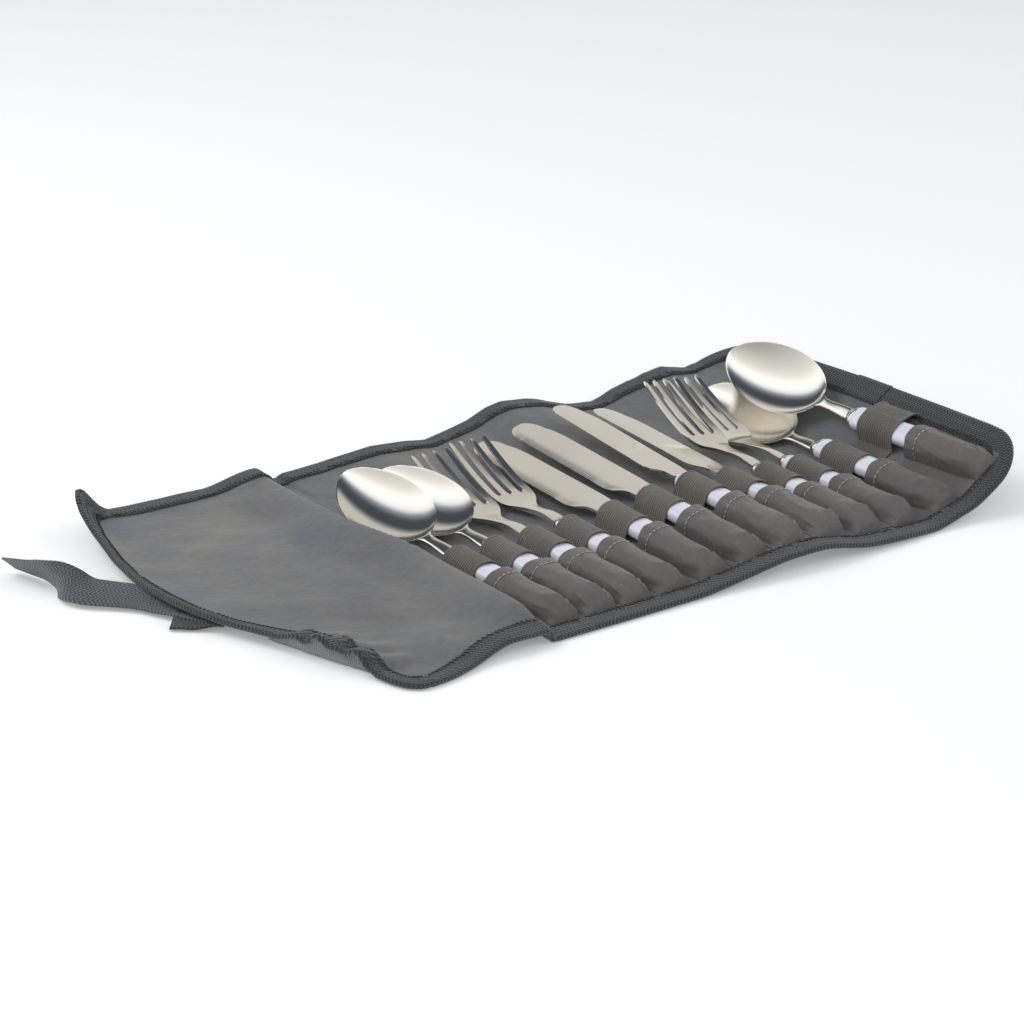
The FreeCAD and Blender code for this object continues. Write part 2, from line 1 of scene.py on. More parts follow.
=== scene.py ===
import bpy
import bmesh
import math
import numpy as np
from collections import namedtuple
from mathutils import Matrix, Vector


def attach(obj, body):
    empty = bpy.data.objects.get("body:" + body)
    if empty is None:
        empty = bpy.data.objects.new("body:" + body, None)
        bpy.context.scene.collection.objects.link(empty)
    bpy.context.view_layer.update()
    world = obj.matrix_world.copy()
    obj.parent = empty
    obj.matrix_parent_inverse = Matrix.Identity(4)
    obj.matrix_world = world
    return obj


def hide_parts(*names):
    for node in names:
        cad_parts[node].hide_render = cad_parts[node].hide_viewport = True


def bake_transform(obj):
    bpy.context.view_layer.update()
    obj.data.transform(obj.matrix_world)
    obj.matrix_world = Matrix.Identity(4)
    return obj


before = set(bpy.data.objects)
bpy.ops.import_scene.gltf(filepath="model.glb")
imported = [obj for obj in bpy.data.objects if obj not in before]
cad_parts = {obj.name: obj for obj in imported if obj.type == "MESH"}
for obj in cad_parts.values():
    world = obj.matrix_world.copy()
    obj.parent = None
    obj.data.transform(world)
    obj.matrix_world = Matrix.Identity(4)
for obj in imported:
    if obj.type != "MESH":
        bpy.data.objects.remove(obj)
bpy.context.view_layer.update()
MM = 0.001
node_rng = np.random.RandomState(11)  # scatters shader nodes in the node editor


# ------------------------------------------------------------------ small maths
def ease(t):
    """Smooth step from 0 to 1."""
    t = np.clip(t, 0.0, 1.0)
    return t * t * (3 - 2 * t)


def bell(t):
    """Bump of height 1 around t = 0."""
    return np.exp(-t ** 2)


def interp(table, at):
    """Reads a two-column table of (position, value) rows."""
    table = np.asarray(table, float)
    return np.interp(at, table[:, 0], table[:, 1])


def resample(at, stations, rows):
    return np.stack([np.interp(at, stations, column) for column in rows.T], -1)


def unit(vectors, guard=0.0):
    return vectors / (np.linalg.norm(vectors, axis=-1, keepdims=True) + guard)


def arc_length(points):
    """Distance from the first point to each point."""
    return np.r_[0, np.cumsum(np.linalg.norm(np.diff(points, axis=0), axis=1))]


def signed_power(value, power):
    return np.sign(value) * np.abs(value) ** power


def vnoise(x, y, scale, seed):
    """Smooth value noise, about -1..1."""
    lattice = np.random.RandomState(seed).uniform(-1, 1, (97, 97))
    cell_x = np.asarray(x, float) / scale + 40.0
    cell_y = np.asarray(y, float) / scale + 40.0
    col, row = np.floor(cell_x).astype(int), np.floor(cell_y).astype(int)
    blend_x, blend_y = ease(cell_x - col), ease(cell_y - row)

    def mix_along_x(j):
        return lattice[col % 97, j] * (1 - blend_x) + lattice[(col + 1) % 97, j] * blend_x

    return mix_along_x(row % 97) * (1 - blend_y) + mix_along_x((row + 1) % 97) * blend_y


def blur(values, sigma, step, reach):
    """Gaussian blur of evenly spaced values; reach counts samples to each side."""
    kernel = np.exp(-0.5 * (np.arange(-reach, reach + 1) * step / sigma) ** 2)
    return np.convolve(np.pad(values, reach, mode="edge"), kernel / kernel.sum(), mode="valid")


def smooth_profile(points, sigma, low, high):
    """Blurred polyline as a dense table; its end slopes carry on past the end points."""
    at = np.arange(low - 40, high + 40, 0.25)
    px, pz = np.array(points, float).T
    values = np.interp(at, px, pz)
    first_slope = (pz[1] - pz[0]) / (px[1] - px[0])
    last_slope = (pz[-1] - pz[-2]) / (px[-1] - px[-2])
    values = np.where(at < px[0], pz[0] + (at - px[0]) * first_slope, values)
    values = np.where(at > px[-1], pz[-1] + (at - px[-1]) * last_slope, values)
    return np.stack([at, blur(values, sigma, 0.25, 80)], -1)


def soft_curve(points, at, sigma):
    """Blurred polyline, level past its ends, read at the given positions."""
    dense = np.arange(points[0][0] - 12, points[-1][0] + 12, 0.2)
    return np.interp(at, dense, blur(interp(points, dense), sigma, 0.2, 40))


def spline(points, step):
    """Hermite curve through the points, sampled about every step."""
    p = np.asarray(points, float)
    knots = arc_length(p)
    s = np.linspace(0, knots[-1], int(knots[-1] / step) + 1)
    slope = np.zeros_like(p)
    slope[1:-1] = (p[2:] - p[:-2]) / (knots[2:] - knots[:-2])[:, None]
    slope[0] = (p[1] - p[0]) / (knots[1] - knots[0])
    slope[-1] = (p[-1] - p[-2]) / (knots[-1] - knots[-2])
    i = np.clip(np.searchsorted(knots, s, side="right") - 1, 0, len(p) - 2)
    span = knots[i + 1] - knots[i]
    t = (s - knots[i]) / span
    start_weight = 2 * t**3 - 3 * t**2 + 1
    start_slope_weight = (t**3 - 2 * t**2 + t) * span
    end_weight = -2 * t**3 + 3 * t**2
    end_slope_weight = (t**3 - t**2) * span
    return (start_weight[:, None] * p[i] + start_slope_weight[:, None] * slope[i]
            + end_weight[:, None] * p[i + 1] + end_slope_weight[:, None] * slope[i + 1])


def transform(matrix, points):
    rows = np.array(matrix)
    return points @ rows[:3, :3].T + rows[:3, 3]


# ------------------------------------------------------------------ lie of the cloth
# (x, z) of the cloth's underside under the pieces; the inner points are seams and folds
BAY_LINE = [(-22.5, 0), (22.5, 0), (70, 0.5), (96, 3.8), (122, 7.5), (148.5, 8.2),
            (175.5, 2.8), (227, 0), (255.5, 7), (285, 28), (294.8, 35)]
BAY_PROFILE = smooth_profile(BAY_LINE, 4.5, -22.5, 294.8)
FLAP_PROFILE = smooth_profile(
    [(-166, 6), (-144, 5), (-119, 4), (-84, 4), (-60, 4.5), (-22, 4.5)], 6.0, -166, -22)
# (x, extra height at the far edge)
FAR_LIFT = np.array([
    (-60, 0), (-25, 2.0), (-9, 2.6), (10, 4.2), (22, 4.6), (37, 5.6), (61, 3.6), (74, 1.4),
    (89, 2.4), (104, 3.9), (117, 7.1), (127, 7.8), (143, 5.5), (159, 2.4), (173, 0.8),
    (193, 0.2), (200, 2.4), (208, 6.0), (220, 9.5), (232, 11.3), (245, 10.0), (255, 5.0),
    (264, -1.0), (274, -4.0), (296, -5.0)])
# (y, share of the height kept at the right rim)
RIM_SCALE = np.array([(-132, 0.90), (-118, 0.97), (-100, 1.0), (-64, 1.0), (0, 0.98),
                      (40, 0.93), (90, 0.86), (120, 0.80), (132, 0.78)])

# (x, y) around the flap's free edge, from its near corner to its far corner
FLAP_OUTLINE = [
    (-99.0, -140.6), (-106.0, -139.6), (-112.0, -133.5), (-116.5, -121.0), (-120.5, -108.0),
    (-126.0, -95.0), (-131.5, -82.0), (-137.0, -66.0), (-143.5, -49.0), (-150.5, -33.0),
    (-157.0, -16.0), (-161.0, 4.0), (-162.8, 30.0), (-161.0, 58.0), (-157.5, 82.0),
    (-155.8, 102.0), (-153.5, 115.0), (-149.5, 124.5), (-142.5, 130.4), (-133.0, 132.0)]
FLAP_CURVE = spline(FLAP_OUTLINE, 0.55)
FLAP_TIP = int(np.argmin(FLAP_CURVE[:, 0]))
# (y, x) of the same edge where it measures how far a point is from the lip
FLAP_EDGE = np.array([(y, x) for x, y in FLAP_OUTLINE[:18]] + [(132.0, -142.0)])
# (y, rise of the lip)
LIP_RISE = np.array([(-141, 0.3), (-100, 0.6), (-60, 1.0), (0, 0.8), (33, 1.2), (60, 2.4),
                     (82, 4.8), (92, 6.8), (104, 10.2), (114, 13.2), (124, 17.0), (132, 15.5)])
NEAR_Y, FAR_Y = -132.0, 132.0
RIM_X = 294.8
CORNER_RADIUS = 26.0  # plan radius of the two corners at the rim


def bay_height(x, y):
    rim = 1.0 - (1.0 - interp(RIM_SCALE, y)) * ease((x - 236.0) / 40.0)
    lift = interp(FAR_LIFT, x) * ease((y - 76.0) / 56.0)
    ripple = 0.45 * vnoise(x, y, 26.0, 3) * ease((y + 24.0) / 20.0) * ease((x + 10.0) / 20.0)
    return interp(BAY_PROFILE, x) * rim + lift + ripple


def flap_height(x, y):
    # crest of the fold beside the first piece, then the slack flap
    crest_x = -28.0 - 11.5 * ease((y + 18.0) / 62.0)
    crest_z = 10.6 - 1.6 * ease((y - 20) / 100.0) + 0.7 * np.sin(y / 21.0)
    crest_z = crest_z * (1 - 0.5 * ease((-104.0 - y) / 28.0))
    base = interp(FLAP_PROFILE, x)
    height = base + (crest_z - base) * (1 - ease((crest_x - x) / 34.0))
    fall = crest_z * (1 - ease(1.9 * (x - crest_x) / (-22.0 - crest_x)))
    height = np.where(x > crest_x, fall, height)
    waves = 1.3 * vnoise(x, y, 44.0, 5) + 0.45 * vnoise(x + 0.4 * y, y, 17.0, 6)
    height = height + ease((crest_x - x) / 25.0) * waves
    # the near corner lies on the table
    height = height * (1 - 0.93 * (ease((-70.0 - x) / 24.0) * ease((-92.0 - y) / 34.0)))
    height = height * (1 - 0.80 * (ease((-112.0 - y) / 22.0) * ease((-46.0 - x) / 30.0)))
    # the left lip turns up, with a crumpled stretch towards the near end
    inset = np.clip(x - interp(FLAP_EDGE, y), 0, 60)
    lip = interp(LIP_RISE, y) * np.clip(1 - inset / 16.0, 0, 1) ** 2
    stretch = ease((y + 119.0) / 9.0) * ease((-60.0 - y) / 24.0)
    folds = 3.6 + 1.5 * np.sin(y / 2.9 + inset * 0.16) + 0.8 * np.sin(y / 1.75 - inset * 0.2)
    height = height + lip + stretch * bell(inset / 22.0) * folds
    return np.maximum(height, 0.3)


def underside(x, y):
    """Height of the wrap's underside."""
    x, y = np.broadcast_arrays(np.asarray(x, float), np.asarray(y, float))
    return np.where(x < -22.5, flap_height(x, y), bay_height(x, y))


def surface(x, y, height):
    """Point at a height over the underside, along its normal."""
    probe = 0.6
    z = underside(x, y)
    slope_x = (underside(x + probe, y) - underside(x - probe, y)) / (2 * probe)
    slope_y = (underside(x, y + probe) - underside(x, y - probe)) / (2 * probe)
    normal = unit(np.stack([-slope_x, -slope_y, np.ones_like(slope_x)], -1))
    return np.stack([x, y, z], -1) + normal * np.asarray(height, float)[..., None]


def near_y(x):
    """Near edge: it swings out at the flap and bulges a little around x = 190."""
    x = np.asarray(x, float)
    return NEAR_Y - 8.6 * ease((-50.0 - x) / 49.0) - 3.0 * bell((x - 190.0) / 42.0)


def corner_drop(x):
    k = np.clip(x - (RIM_X - CORNER_RADIUS), 0, CORNER_RADIUS)
    return np.sqrt(CORNER_RADIUS * CORNER_RADIUS - k * k)


def outline_near(x):
    edge = interp(FLAP_CURVE[:FLAP_TIP + 1][::-1], x)
    edge = np.where(x > FLAP_OUTLINE[0][0], near_y(x), edge)
    return edge + CORNER_RADIUS - corner_drop(x)


def outline_far(x):
    edge = interp(FLAP_CURVE[FLAP_TIP:], x)
    edge = np.where(x > FLAP_OUTLINE[-1][0], FAR_Y, edge)
    return edge - CORNER_RADIUS + corner_drop(x)


# ------------------------------------------------------------------ mesh building
def perimeter(index):
    """Indices around the outside of a grid."""
    return (index[0].tolist() + index[1:, -1].tolist()
            + index[-1, :-1][::-1].tolist() + index[1:-1, 0][::-1].tolist())


class MeshBuilder:
    """Gathers points (mm), faces, UVs and material slots for one object."""

    def __init__(self):
        self.points, self.faces, self.uvs, self.slots, self.count = [], [], [], [], 0

    def moved(self, matrix):
        copy = MeshBuilder()
        copy.points = [transform(matrix, points) for points in self.points]
        copy.faces, copy.uvs = list(self.faces), list(self.uvs)
        copy.slots, copy.count = list(self.slots), self.count
        return copy

    def add_points(self, points, uv):
        rows, cols = points.shape[:2]
        index = np.arange(rows * cols).reshape(rows, cols) + self.count
        self.points.append(points.reshape(-1, 3))
        self.uvs.append(uv.reshape(-1, 2))
        self.count += rows * cols
        return index

    def add_faces(self, faces, slot=0):
        self.faces += faces
        self.slots += [slot] * len(faces)

    def grid(self, points, uv=None, slot=0, closed=False, flip=False):
        if uv is None:
            uv = np.zeros((*points.shape[:2], 2))
        index = self.add_points(points, uv)
        after = np.roll(index, -1, 1) if closed else index[:, 1:]
        here = index if closed else index[:, :-1]
        quads = np.stack([here[:-1], after[:-1], after[1:], here[1:]], -1).reshape(-1, 4)
        if flip:
            quads = quads[:, ::-1]
        self.add_faces([tuple(quad) for quad in quads.tolist()], slot)
        return index

    def tube(self, rings, uv=None, slot=0):
        """Closed rings joined in order, capped at both ends."""
        index = self.grid(rings, uv, slot, closed=True)
        self.add_faces([tuple(index[0].tolist()[::-1]), tuple(index[-1].tolist())], slot)

    def slab(self, top, low, uv, low_slot=0):
        """Closed sheet between two grids with the same layout."""
        top_rim = perimeter(self.grid(top, uv))
        low_rim = perimeter(self.grid(low, uv, low_slot, flip=True))
        for i in range(len(top_rim)):
            j = (i + 1) % len(top_rim)
            self.add_faces([(top_rim[i], low_rim[i], low_rim[j], top_rim[j])])

    def masked_sheet(self, x, y, z_top, z_low, keep):
        """Closed solid over the kept cells, with walls where the mask ends."""
        top, low = np.stack([x, y, z_top], -1), np.stack([x, y, z_low], -1)
        top_index = self.add_points(top, top[..., :2])
        low_index = self.add_points(low, low[..., :2])
        kept = np.pad(keep, 1)
        for i, j in np.argwhere(keep):
            corners = ((i, j), (i, j + 1), (i + 1, j + 1), (i + 1, j))
            t0, t1, t2, t3 = [int(top_index[corner]) for corner in corners]
            l0, l1, l2, l3 = [int(low_index[corner]) for corner in corners]
            walls = [(kept[i, j + 1], (t0, l0, l1, t1)), (kept[i + 2, j + 1], (t3, t2, l2, l3)),
                     (kept[i + 1, j], (t0, t3, l3, l0)), (kept[i + 1, j + 2], (t1, l1, l2, t2))]
            self.add_faces([(t0, t1, t2, t3), (l3, l2, l1, l0)]
                           + [wall for neighbour, wall in walls if not neighbour])

    def cord(self, path, radius, sides, slot):
        """Round cord along a path; the radius may vary along it."""
        tangent = unit(np.gradient(path, axis=0), 1e-9)
        across = unit(np.cross(tangent, np.tile([0.0, 0.0, 1.0], (len(path), 1))), 1e-9)
        above = np.cross(across, tangent)
        a = np.linspace(0, 2 * np.pi, sides, endpoint=False)
        radii = np.broadcast_to(np.asarray(radius, float), (len(path),))
        spokes = (np.cos(a)[None, :, None] * across[:, None, :]
                  + np.sin(a)[None, :, None] * above[:, None, :])
        self.tube(path[:, None, :] + radii[:, None, None] * spokes, slot=slot)

    def to_object(self, name, materials, sharp_angle=50.0):
        mesh = bpy.data.meshes.new(name)
        mesh.from_pydata((np.concatenate(self.points) * MM).tolist(), [], self.faces)
        for material in materials:
            mesh.materials.append(material)
        mesh.polygons.foreach_set("material_index", self.slots)
        layer = mesh.uv_layers.new(name="UVMap")
        corners = np.zeros(len(mesh.loops), np.int32)
        mesh.loops.foreach_get("vertex_index", corners)
        uv = np.concatenate(self.uvs)[corners]
        layer.data.foreach_set("uv", uv.astype(np.float32).ravel())
        mesh.validate()
        mesh.update()
        mesh.polygons.foreach_set("use_smooth", [True] * len(mesh.polygons))
        mesh.set_sharp_from_angle(angle=math.radians(sharp_angle))
        obj = bpy.data.objects.new(name, mesh)
        bpy.context.scene.collection.objects.link(obj)
        edit = bmesh.new()
        edit.from_mesh(mesh)
        bmesh.ops.recalc_face_normals(edit, faces=edit.faces)
        edit.to_mesh(mesh)
        edit.free()
        # marked again now that all faces point outwards
        mesh.set_sharp_from_angle(angle=math.radians(sharp_angle))
        return obj


# ------------------------------------------------------------------ materials
def srgb(*levels):
    """Linear colour from 0..255 sRGB levels."""
    def linear(level):
        level /= 255.0
        return level / 12.92 if level <= 0.04045 else ((level + 0.055) / 1.055) ** 2.4
    return (*[linear(level) for level in levels], 1.0)


def set_or_link(tree, socket, value):
    if isinstance(value, (int, float, tuple)):
        socket.default_value = value
    else:
        tree.links.new(value, socket)


class Shader:
    """A material's node tree, with a helper for each kind of node."""

    def __init__(self, name):
        self.material = bpy.data.materials.new(name)
        self.material.use_nodes = True
        self.tree = self.material.node_tree
        self.left = -300

    def new(self, kind, **props):
        node = self.tree.nodes.new(kind)
        self.left -= 40
        node.location = (self.left, node_rng.randint(-300, 300))
        for key, value in props.items():
            setattr(node, key, value)
        return node

    def feed(self, socket, value):
        set_or_link(self.tree, socket, value)

    def math(self, operation, *values):
        node = self.new("ShaderNodeMath", operation=operation)
        for socket, value in zip(node.inputs, values):
            self.feed(socket, value)
        return node.outputs[0]

    def add(self, first, second):
        return self.math("ADD", first, second)

    def mul(self, first, second):
        return self.math("MULTIPLY", first, second)

    def wave(self, coord, pitch):
        return self.math("SINE", self.mul(coord, 2 * math.pi / pitch))

    def raised_wave(self, coord, pitch):
        """Wave between 0 and 1."""
        return self.add(self.mul(self.wave(coord, pitch), 0.5), 0.5)

    def coords(self, kind="Object"):
        return self.new("ShaderNodeTexCoord").outputs[kind]

    def split_uv(self):
        vector = self.coords("UV")
        return self.split(vector)

    def split(self, vector):
        node = self.new("ShaderNodeSeparateXYZ")
        self.feed(node.inputs[0], vector)
        return node.outputs

    def noise(self, scale, detail, rough, vector=None):
        node = self.new("ShaderNodeTexNoise")
        node.inputs["Scale"].default_value = scale
        node.inputs["Detail"].default_value = detail
        node.inputs["Roughness"].default_value = rough
        self.feed(node.inputs["Vector"], self.coords() if vector is None else vector)
        return node.outputs["Fac"]

    def ramp(self, fac, *stops):
        node = self.new("ShaderNodeValToRGB")
        while len(node.color_ramp.elements) < len(stops):
            node.color_ramp.elements.new(0.5)
        for element, (position, colour) in zip(node.color_ramp.elements, stops):
            element.position, element.color = position, colour
        self.feed(node.inputs[0], fac)
        return node.outputs[0]

    def mix(self, fac, first, second, blend="MIX"):
        node = self.new("ShaderNodeMix", data_type="RGBA", blend_type=blend)
        for i, value in ((0, fac), (6, first), (7, second)):
            self.feed(node.inputs[i], value)
        return node.outputs[2]

    def bump(self, height, distance, strength, normal=None):
        """Distance is in metres."""
        node = self.new("ShaderNodeBump")
        node.inputs["Distance"].default_value = distance
        node.inputs["Strength"].default_value = strength
        self.feed(node.inputs["Height"], height)
        if normal is not None:
            self.feed(node.inputs["Normal"], normal)
        return node.outputs[0]

    def finish(self, **values):
        """Sets Principled inputs, with _ for spaces in their names."""
        bsdf = self.tree.nodes["Principled BSDF"]
        for key, value in values.items():
            self.feed(bsdf.inputs[key.replace("_", " ")], value)
        return self.material


def satin(name, dark, mid, light, tint, rough, weave_depth):
    """Crumpled satin: mottled colour, a fine plain weave and soft creases."""
    sh = Shader(name)
    uv = sh.coords("UV")
    broad = sh.noise(scale=9.0, detail=3.0, rough=0.55)
    fine = sh.noise(scale=260.0, detail=3.0, rough=0.65)
    colour = sh.ramp(broad, (0.30, dark), (0.52, mid), (0.75, light))
    patches = sh.math("SUBTRACT", sh.noise(scale=16.0, detail=2.0, rough=0.5), 0.46)
    patches = sh.mul(patches, 2.6)
    clamp = sh.new("ShaderNodeClamp")
    sh.feed(clamp.inputs[0], patches)
    colour = sh.mix(sh.mul(clamp.outputs[0], 0.75), colour, tint)
    grain = sh.ramp(fine, (0.35, (0.02, 0.02, 0.02, 1)), (0.65, (0.55, 0.55, 0.55, 1)))
    colour = sh.mix(0.16, colour, grain, "OVERLAY")
    along, across = sh.split(uv)[:2]
    weave = sh.wave(along, 0.9)
    weave = sh.mul(weave, sh.wave(across, 0.9))
    slubs = sh.noise(scale=90.0, detail=2.0, rough=0.6)
    weave = sh.mul(weave, weave_depth)
    threads = sh.add(weave, sh.mul(slubs, 0.8))
    normal = sh.bump(threads, distance=0.00022, strength=0.7)
    crease = sh.noise(scale=38.0, detail=4.0, rough=0.62)
    normal = sh.bump(crease, distance=0.0030, strength=0.45, normal=normal)
    roughness = sh.add(rough - 0.07, sh.mul(fine, 0.14))
    return sh.finish(Base_Color=colour, Roughness=roughness, Normal=normal,
                     Specular_IOR_Level=0.5, Sheen_Weight=0.25, Sheen_Roughness=0.45)


def ribbed(name, dark, light, pitch, rough, axis):
    """Ribs repeating along one UV axis (0 = u, 1 = v), crossed by finer threads."""
    sh = Shader(name)
    uv = sh.split_uv()
    rib = sh.wave(uv[axis], pitch)
    cross = sh.wave(uv[1 - axis], pitch * 0.55)
    relief = sh.mul(rib, 0.42)
    relief = sh.add(relief, sh.mul(sh.mul(rib, cross), 0.22))
    relief = sh.add(relief, 0.5)
    mottle = sh.noise(scale=30.0, detail=3.0, rough=0.6)
    # Colour follows the relief: the rib pattern, with painted shade darkening its grooves.
    colour = sh.mix(relief, dark, light)
    colour = sh.mix(0.35, colour, sh.ramp(mottle, (0.3, dark), (0.7, light)))
    fibre = sh.noise(scale=900.0, detail=2.0, rough=0.7)
    fuzzy = sh.add(relief, sh.mul(fibre, 0.35))
    normal = sh.bump(fuzzy, distance=0.00035, strength=0.9)
    return sh.finish(Base_Color=colour, Roughness=rough, Normal=normal,
                     Sheen_Weight=0.3, Sheen_Roughness=0.5)


HERRINGBONE_WIDTH, HERRINGBONE_RIB = 4.2, 2.1


def herringbone(name, dark, light, tint):
    """Webbing with slanted ribs that turn over every few threads."""
    sh = Shader(name)
    uv = sh.split_uv()
    column = sh.math("FRACT", sh.math("DIVIDE", uv[1], HERRINGBONE_WIDTH))
    fold = sh.math("ABSOLUTE", sh.math("SUBTRACT", column, 0.5))
    slant = sh.add(uv[0], sh.mul(fold, HERRINGBONE_WIDTH))
    rib = sh.raised_wave(slant, HERRINGBONE_RIB)
    thread = sh.raised_wave(uv[1], 0.75)
    relief = sh.mul(rib, 0.75)
    relief = sh.add(relief, sh.mul(thread, 0.25))
    fibre = sh.noise(scale=700.0, detail=3.0, rough=0.7)
    mottle = sh.noise(scale=22.0, detail=3.0, rough=0.6)
    # Colour follows the relief: the woven rib pattern, with painted shade darkening its
    # grooves.
    colour = sh.mix(sh.mul(relief, sh.add(0.55, sh.mul(fibre, 0.7))), dark, light)
    colour = sh.mix(sh.mul(mottle, 0.45), colour, tint)
    normal = sh.bump(sh.add(relief, sh.mul(fibre, 0.4)), distance=0.0005, strength=0.9)
    return sh.finish(Base_Color=colour, Roughness=0.72, Normal=normal, Sheen_Weight=0.35,
                     Sheen_Roughness=0.5, Specular_IOR_Level=0.35)


def polished_steel():
    sh = Shader("steel_polished")
    smear = sh.noise(scale=14.0, detail=4.0, rough=0.6)
    mapping = sh.new("ShaderNodeMapping")
    mapping.inputs["Scale"].default_value = (420.0, 30.0, 300.0)
    sh.feed(mapping.inputs["Vector"], sh.coords())
    brushed = sh.noise(scale=1.0, detail=2.0, rough=0.5, vector=mapping.outputs[0])
    colour = sh.mix(smear, srgb(214, 209, 198), srgb(236, 233, 226))
    marks = sh.mul(smear, 0.07)
    marks = sh.add(marks, sh.mul(brushed, 0.05))
    roughness = sh.add(0.085, marks)
    normal = sh.bump(brushed, distance=0.00004, strength=0.25)
    wobble = sh.noise(scale=45.0, detail=1.0, rough=0.5)
    normal = sh.bump(wobble, distance=0.0004, strength=0.10, normal=normal)
    return sh.finish(Base_Color=colour, Metallic=1.0, Roughness=roughness, Normal=normal)


def glossy_plastic():
    sh = Shader("handle_gloss_plastic")
    mottle = sh.noise(scale=40.0, detail=2.0, rough=0.5)
    fine = sh.noise(scale=900.0, detail=2.0, rough=0.6)
    colour = sh.mix(mottle, srgb(228, 229, 246), srgb(241, 242, 252))
    roughness = sh.add(0.16, sh.mul(mottle, 0.1))
    normal = sh.bump(fine, distance=0.00005, strength=0.3)
    wobble = sh.noise(scale=120.0, detail=1.0, rough=0.5)
    normal = sh.bump(wobble, distance=0.0003, strength=0.12, normal=normal)
    return sh.finish(Base_Color=colour, Roughness=roughness, Normal=normal, Coat_Weight=0.4,
                     Coat_Roughness=0.08, Subsurface_Weight=0.12, Subsurface_Scale=0.004)


def sewing_thread(name, dark, light):
    sh = Shader(name)
    fibre = sh.noise(scale=1500.0, detail=2.0, rough=0.6)
    colour = sh.mix(fibre, dark, light)
    normal = sh.bump(fibre, distance=0.0002, strength=0.8)
    return sh.finish(Base_Color=colour, Roughness=0.8, Normal=normal, Sheen_Weight=0.3)


ELASTIC_START, ELASTIC_LENGTH, ELASTIC_RIBS = -57.2, 27.4, 16
ELASTIC_PITCH = ELASTIC_LENGTH / ELASTIC_RIBS

LINING = satin("lining_satin", dark=srgb(94, 95, 98), mid=srgb(113, 113, 113),
               light=srgb(130, 127, 121), tint=srgb(92, 98, 114), rough=0.46, weave_depth=0.2)
POCKET = satin("pocket_satin", dark=srgb(84, 79, 77), mid=srgb(99, 94, 91),
               light=srgb(114, 108, 103), tint=srgb(88, 87, 94), rough=0.33, weave_depth=0.3)
OUTER = ribbed("outer_ribbed_cloth", dark=srgb(74, 77, 80), light=srgb(140, 142, 145),
               pitch=1.35, rough=0.6, axis=0)
TAPE = herringbone("edge_tape_herringbone", dark=srgb(10, 12, 13), light=srgb(84, 89, 92),
                   tint=srgb(42, 47, 47))
WEBBING = herringbone("tie_webbing", dark=srgb(26, 29, 33), light=srgb(116, 119, 124),
                      tint=srgb(80, 84, 90))
# Same webbing as the long tie in darker colours: painted shade for the short tie lying under
# the flap's edge.
WEBBING_PAINTED_SHADE = herringbone("tie_webbing_end", dark=srgb(10, 11, 11), light=srgb(72, 74, 70),
                          tint=srgb(24, 25, 24))
ELASTIC = ribbed("elastic_ribbed", dark=srgb(58, 56, 52), light=srgb(124, 120, 112),
                 pitch=ELASTIC_PITCH, rough=0.7, axis=1)
PALE_THREAD = sewing_thread("stitch_pale", dark=srgb(196, 192, 184), light=srgb(222, 218, 208))
DARK_THREAD = sewing_thread("stitch_dark", dark=srgb(24, 26, 28), light=srgb(52, 55, 57))
STEEL = polished_steel()
PLASTIC = glossy_plastic()

# ------------------------------------------------------------------ zones of the wrap
# Each zone is a strip of the wrap between two x splits, with its body and the next body (none
# for the rim).
Zone = namedtuple("Zone", "name x_from x_to body next_body bend_from bend_to panels")
SPLITS = [0.0, 46.0, 83.0, 109.0, 135.0, 162.0, 201.0, 241.0]
BEND_REACH = 9.0  # each zone's bend_from and bend_to lie this far to each side of its seam
ZONES = [Zone("flap_bay1", None, SPLITS[0], "bay1", "flap", -38.0, -50.0, ("flap", "bay1"))]
for i in range(1, 8):
    seam = BAY_LINE[i][0]
    ZONES.append(Zone(f"bay{i}_bay{i + 1}", SPLITS[i - 1], SPLITS[i], f"bay{i}", f"bay{i + 1}",
                      seam - BEND_REACH, seam + BEND_REACH, (f"bay{i + 1}",)))
ZONES.append(Zone("bay8_rim", SPLITS[-1], None, "bay8", None, None, None, ("bay8",)))


def bend(obj, zone):
    if zone.next_body is None:
        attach(obj, zone.body)
    else:
        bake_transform(obj)


# ------------------------------------------------------------------ cloth of the wrap
CLOTH_TOP, CLOTH_LOW = 1.9, 0.25  # heights of its two faces over the underside


def cloth_columns(zone):
    """x positions of the cloth's columns, packed closer at the two outer ends."""
    if zone.x_from is None:
        start = FLAP_CURVE[FLAP_TIP, 0] + 0.9
        return np.r_[start + (1 - np.cos(np.linspace(0, np.pi / 2, 14))) * 10.0,
                     np.linspace(start + 10.0, -46.0, 70)[1:],
                     np.linspace(-46.0, zone.x_to, 47)[1:]]
    if zone.x_to is None:
        end = RIM_X - 0.9
        return np.r_[np.linspace(zone.x_from, end - 12.0, 30),
                     end - 12.0 + np.sin(np.linspace(0, np.pi / 2, 16))[1:] * 12.0]
    return np.linspace(zone.x_from, zone.x_to, int((zone.x_to - zone.x_from) / 1.3) + 2)


for zone in ZONES:
    columns = cloth_columns(zone)
    low_y, high_y = outline_near(columns) + 0.8, outline_far(columns) - 0.8
    high_y = np.where(high_y <= low_y, low_y + 0.05, high_y)
    y = low_y[:, None] + (high_y - low_y)[:, None] * np.linspace(0, 1, 150)[None, :]
    x = np.repeat(columns[:, None], 150, 1)
    builder = MeshBuilder()
    builder.slab(surface(x, y, CLOTH_TOP), surface(x, y, CLOTH_LOW), np.stack([x, y], -1),
                 low_slot=1)
    cloth = builder.to_object("wrap_cloth_" + zone.name, [LINING, OUTER])
    bend(cloth, zone)
    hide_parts(*[panel + "_panel" for panel in zone.panels])

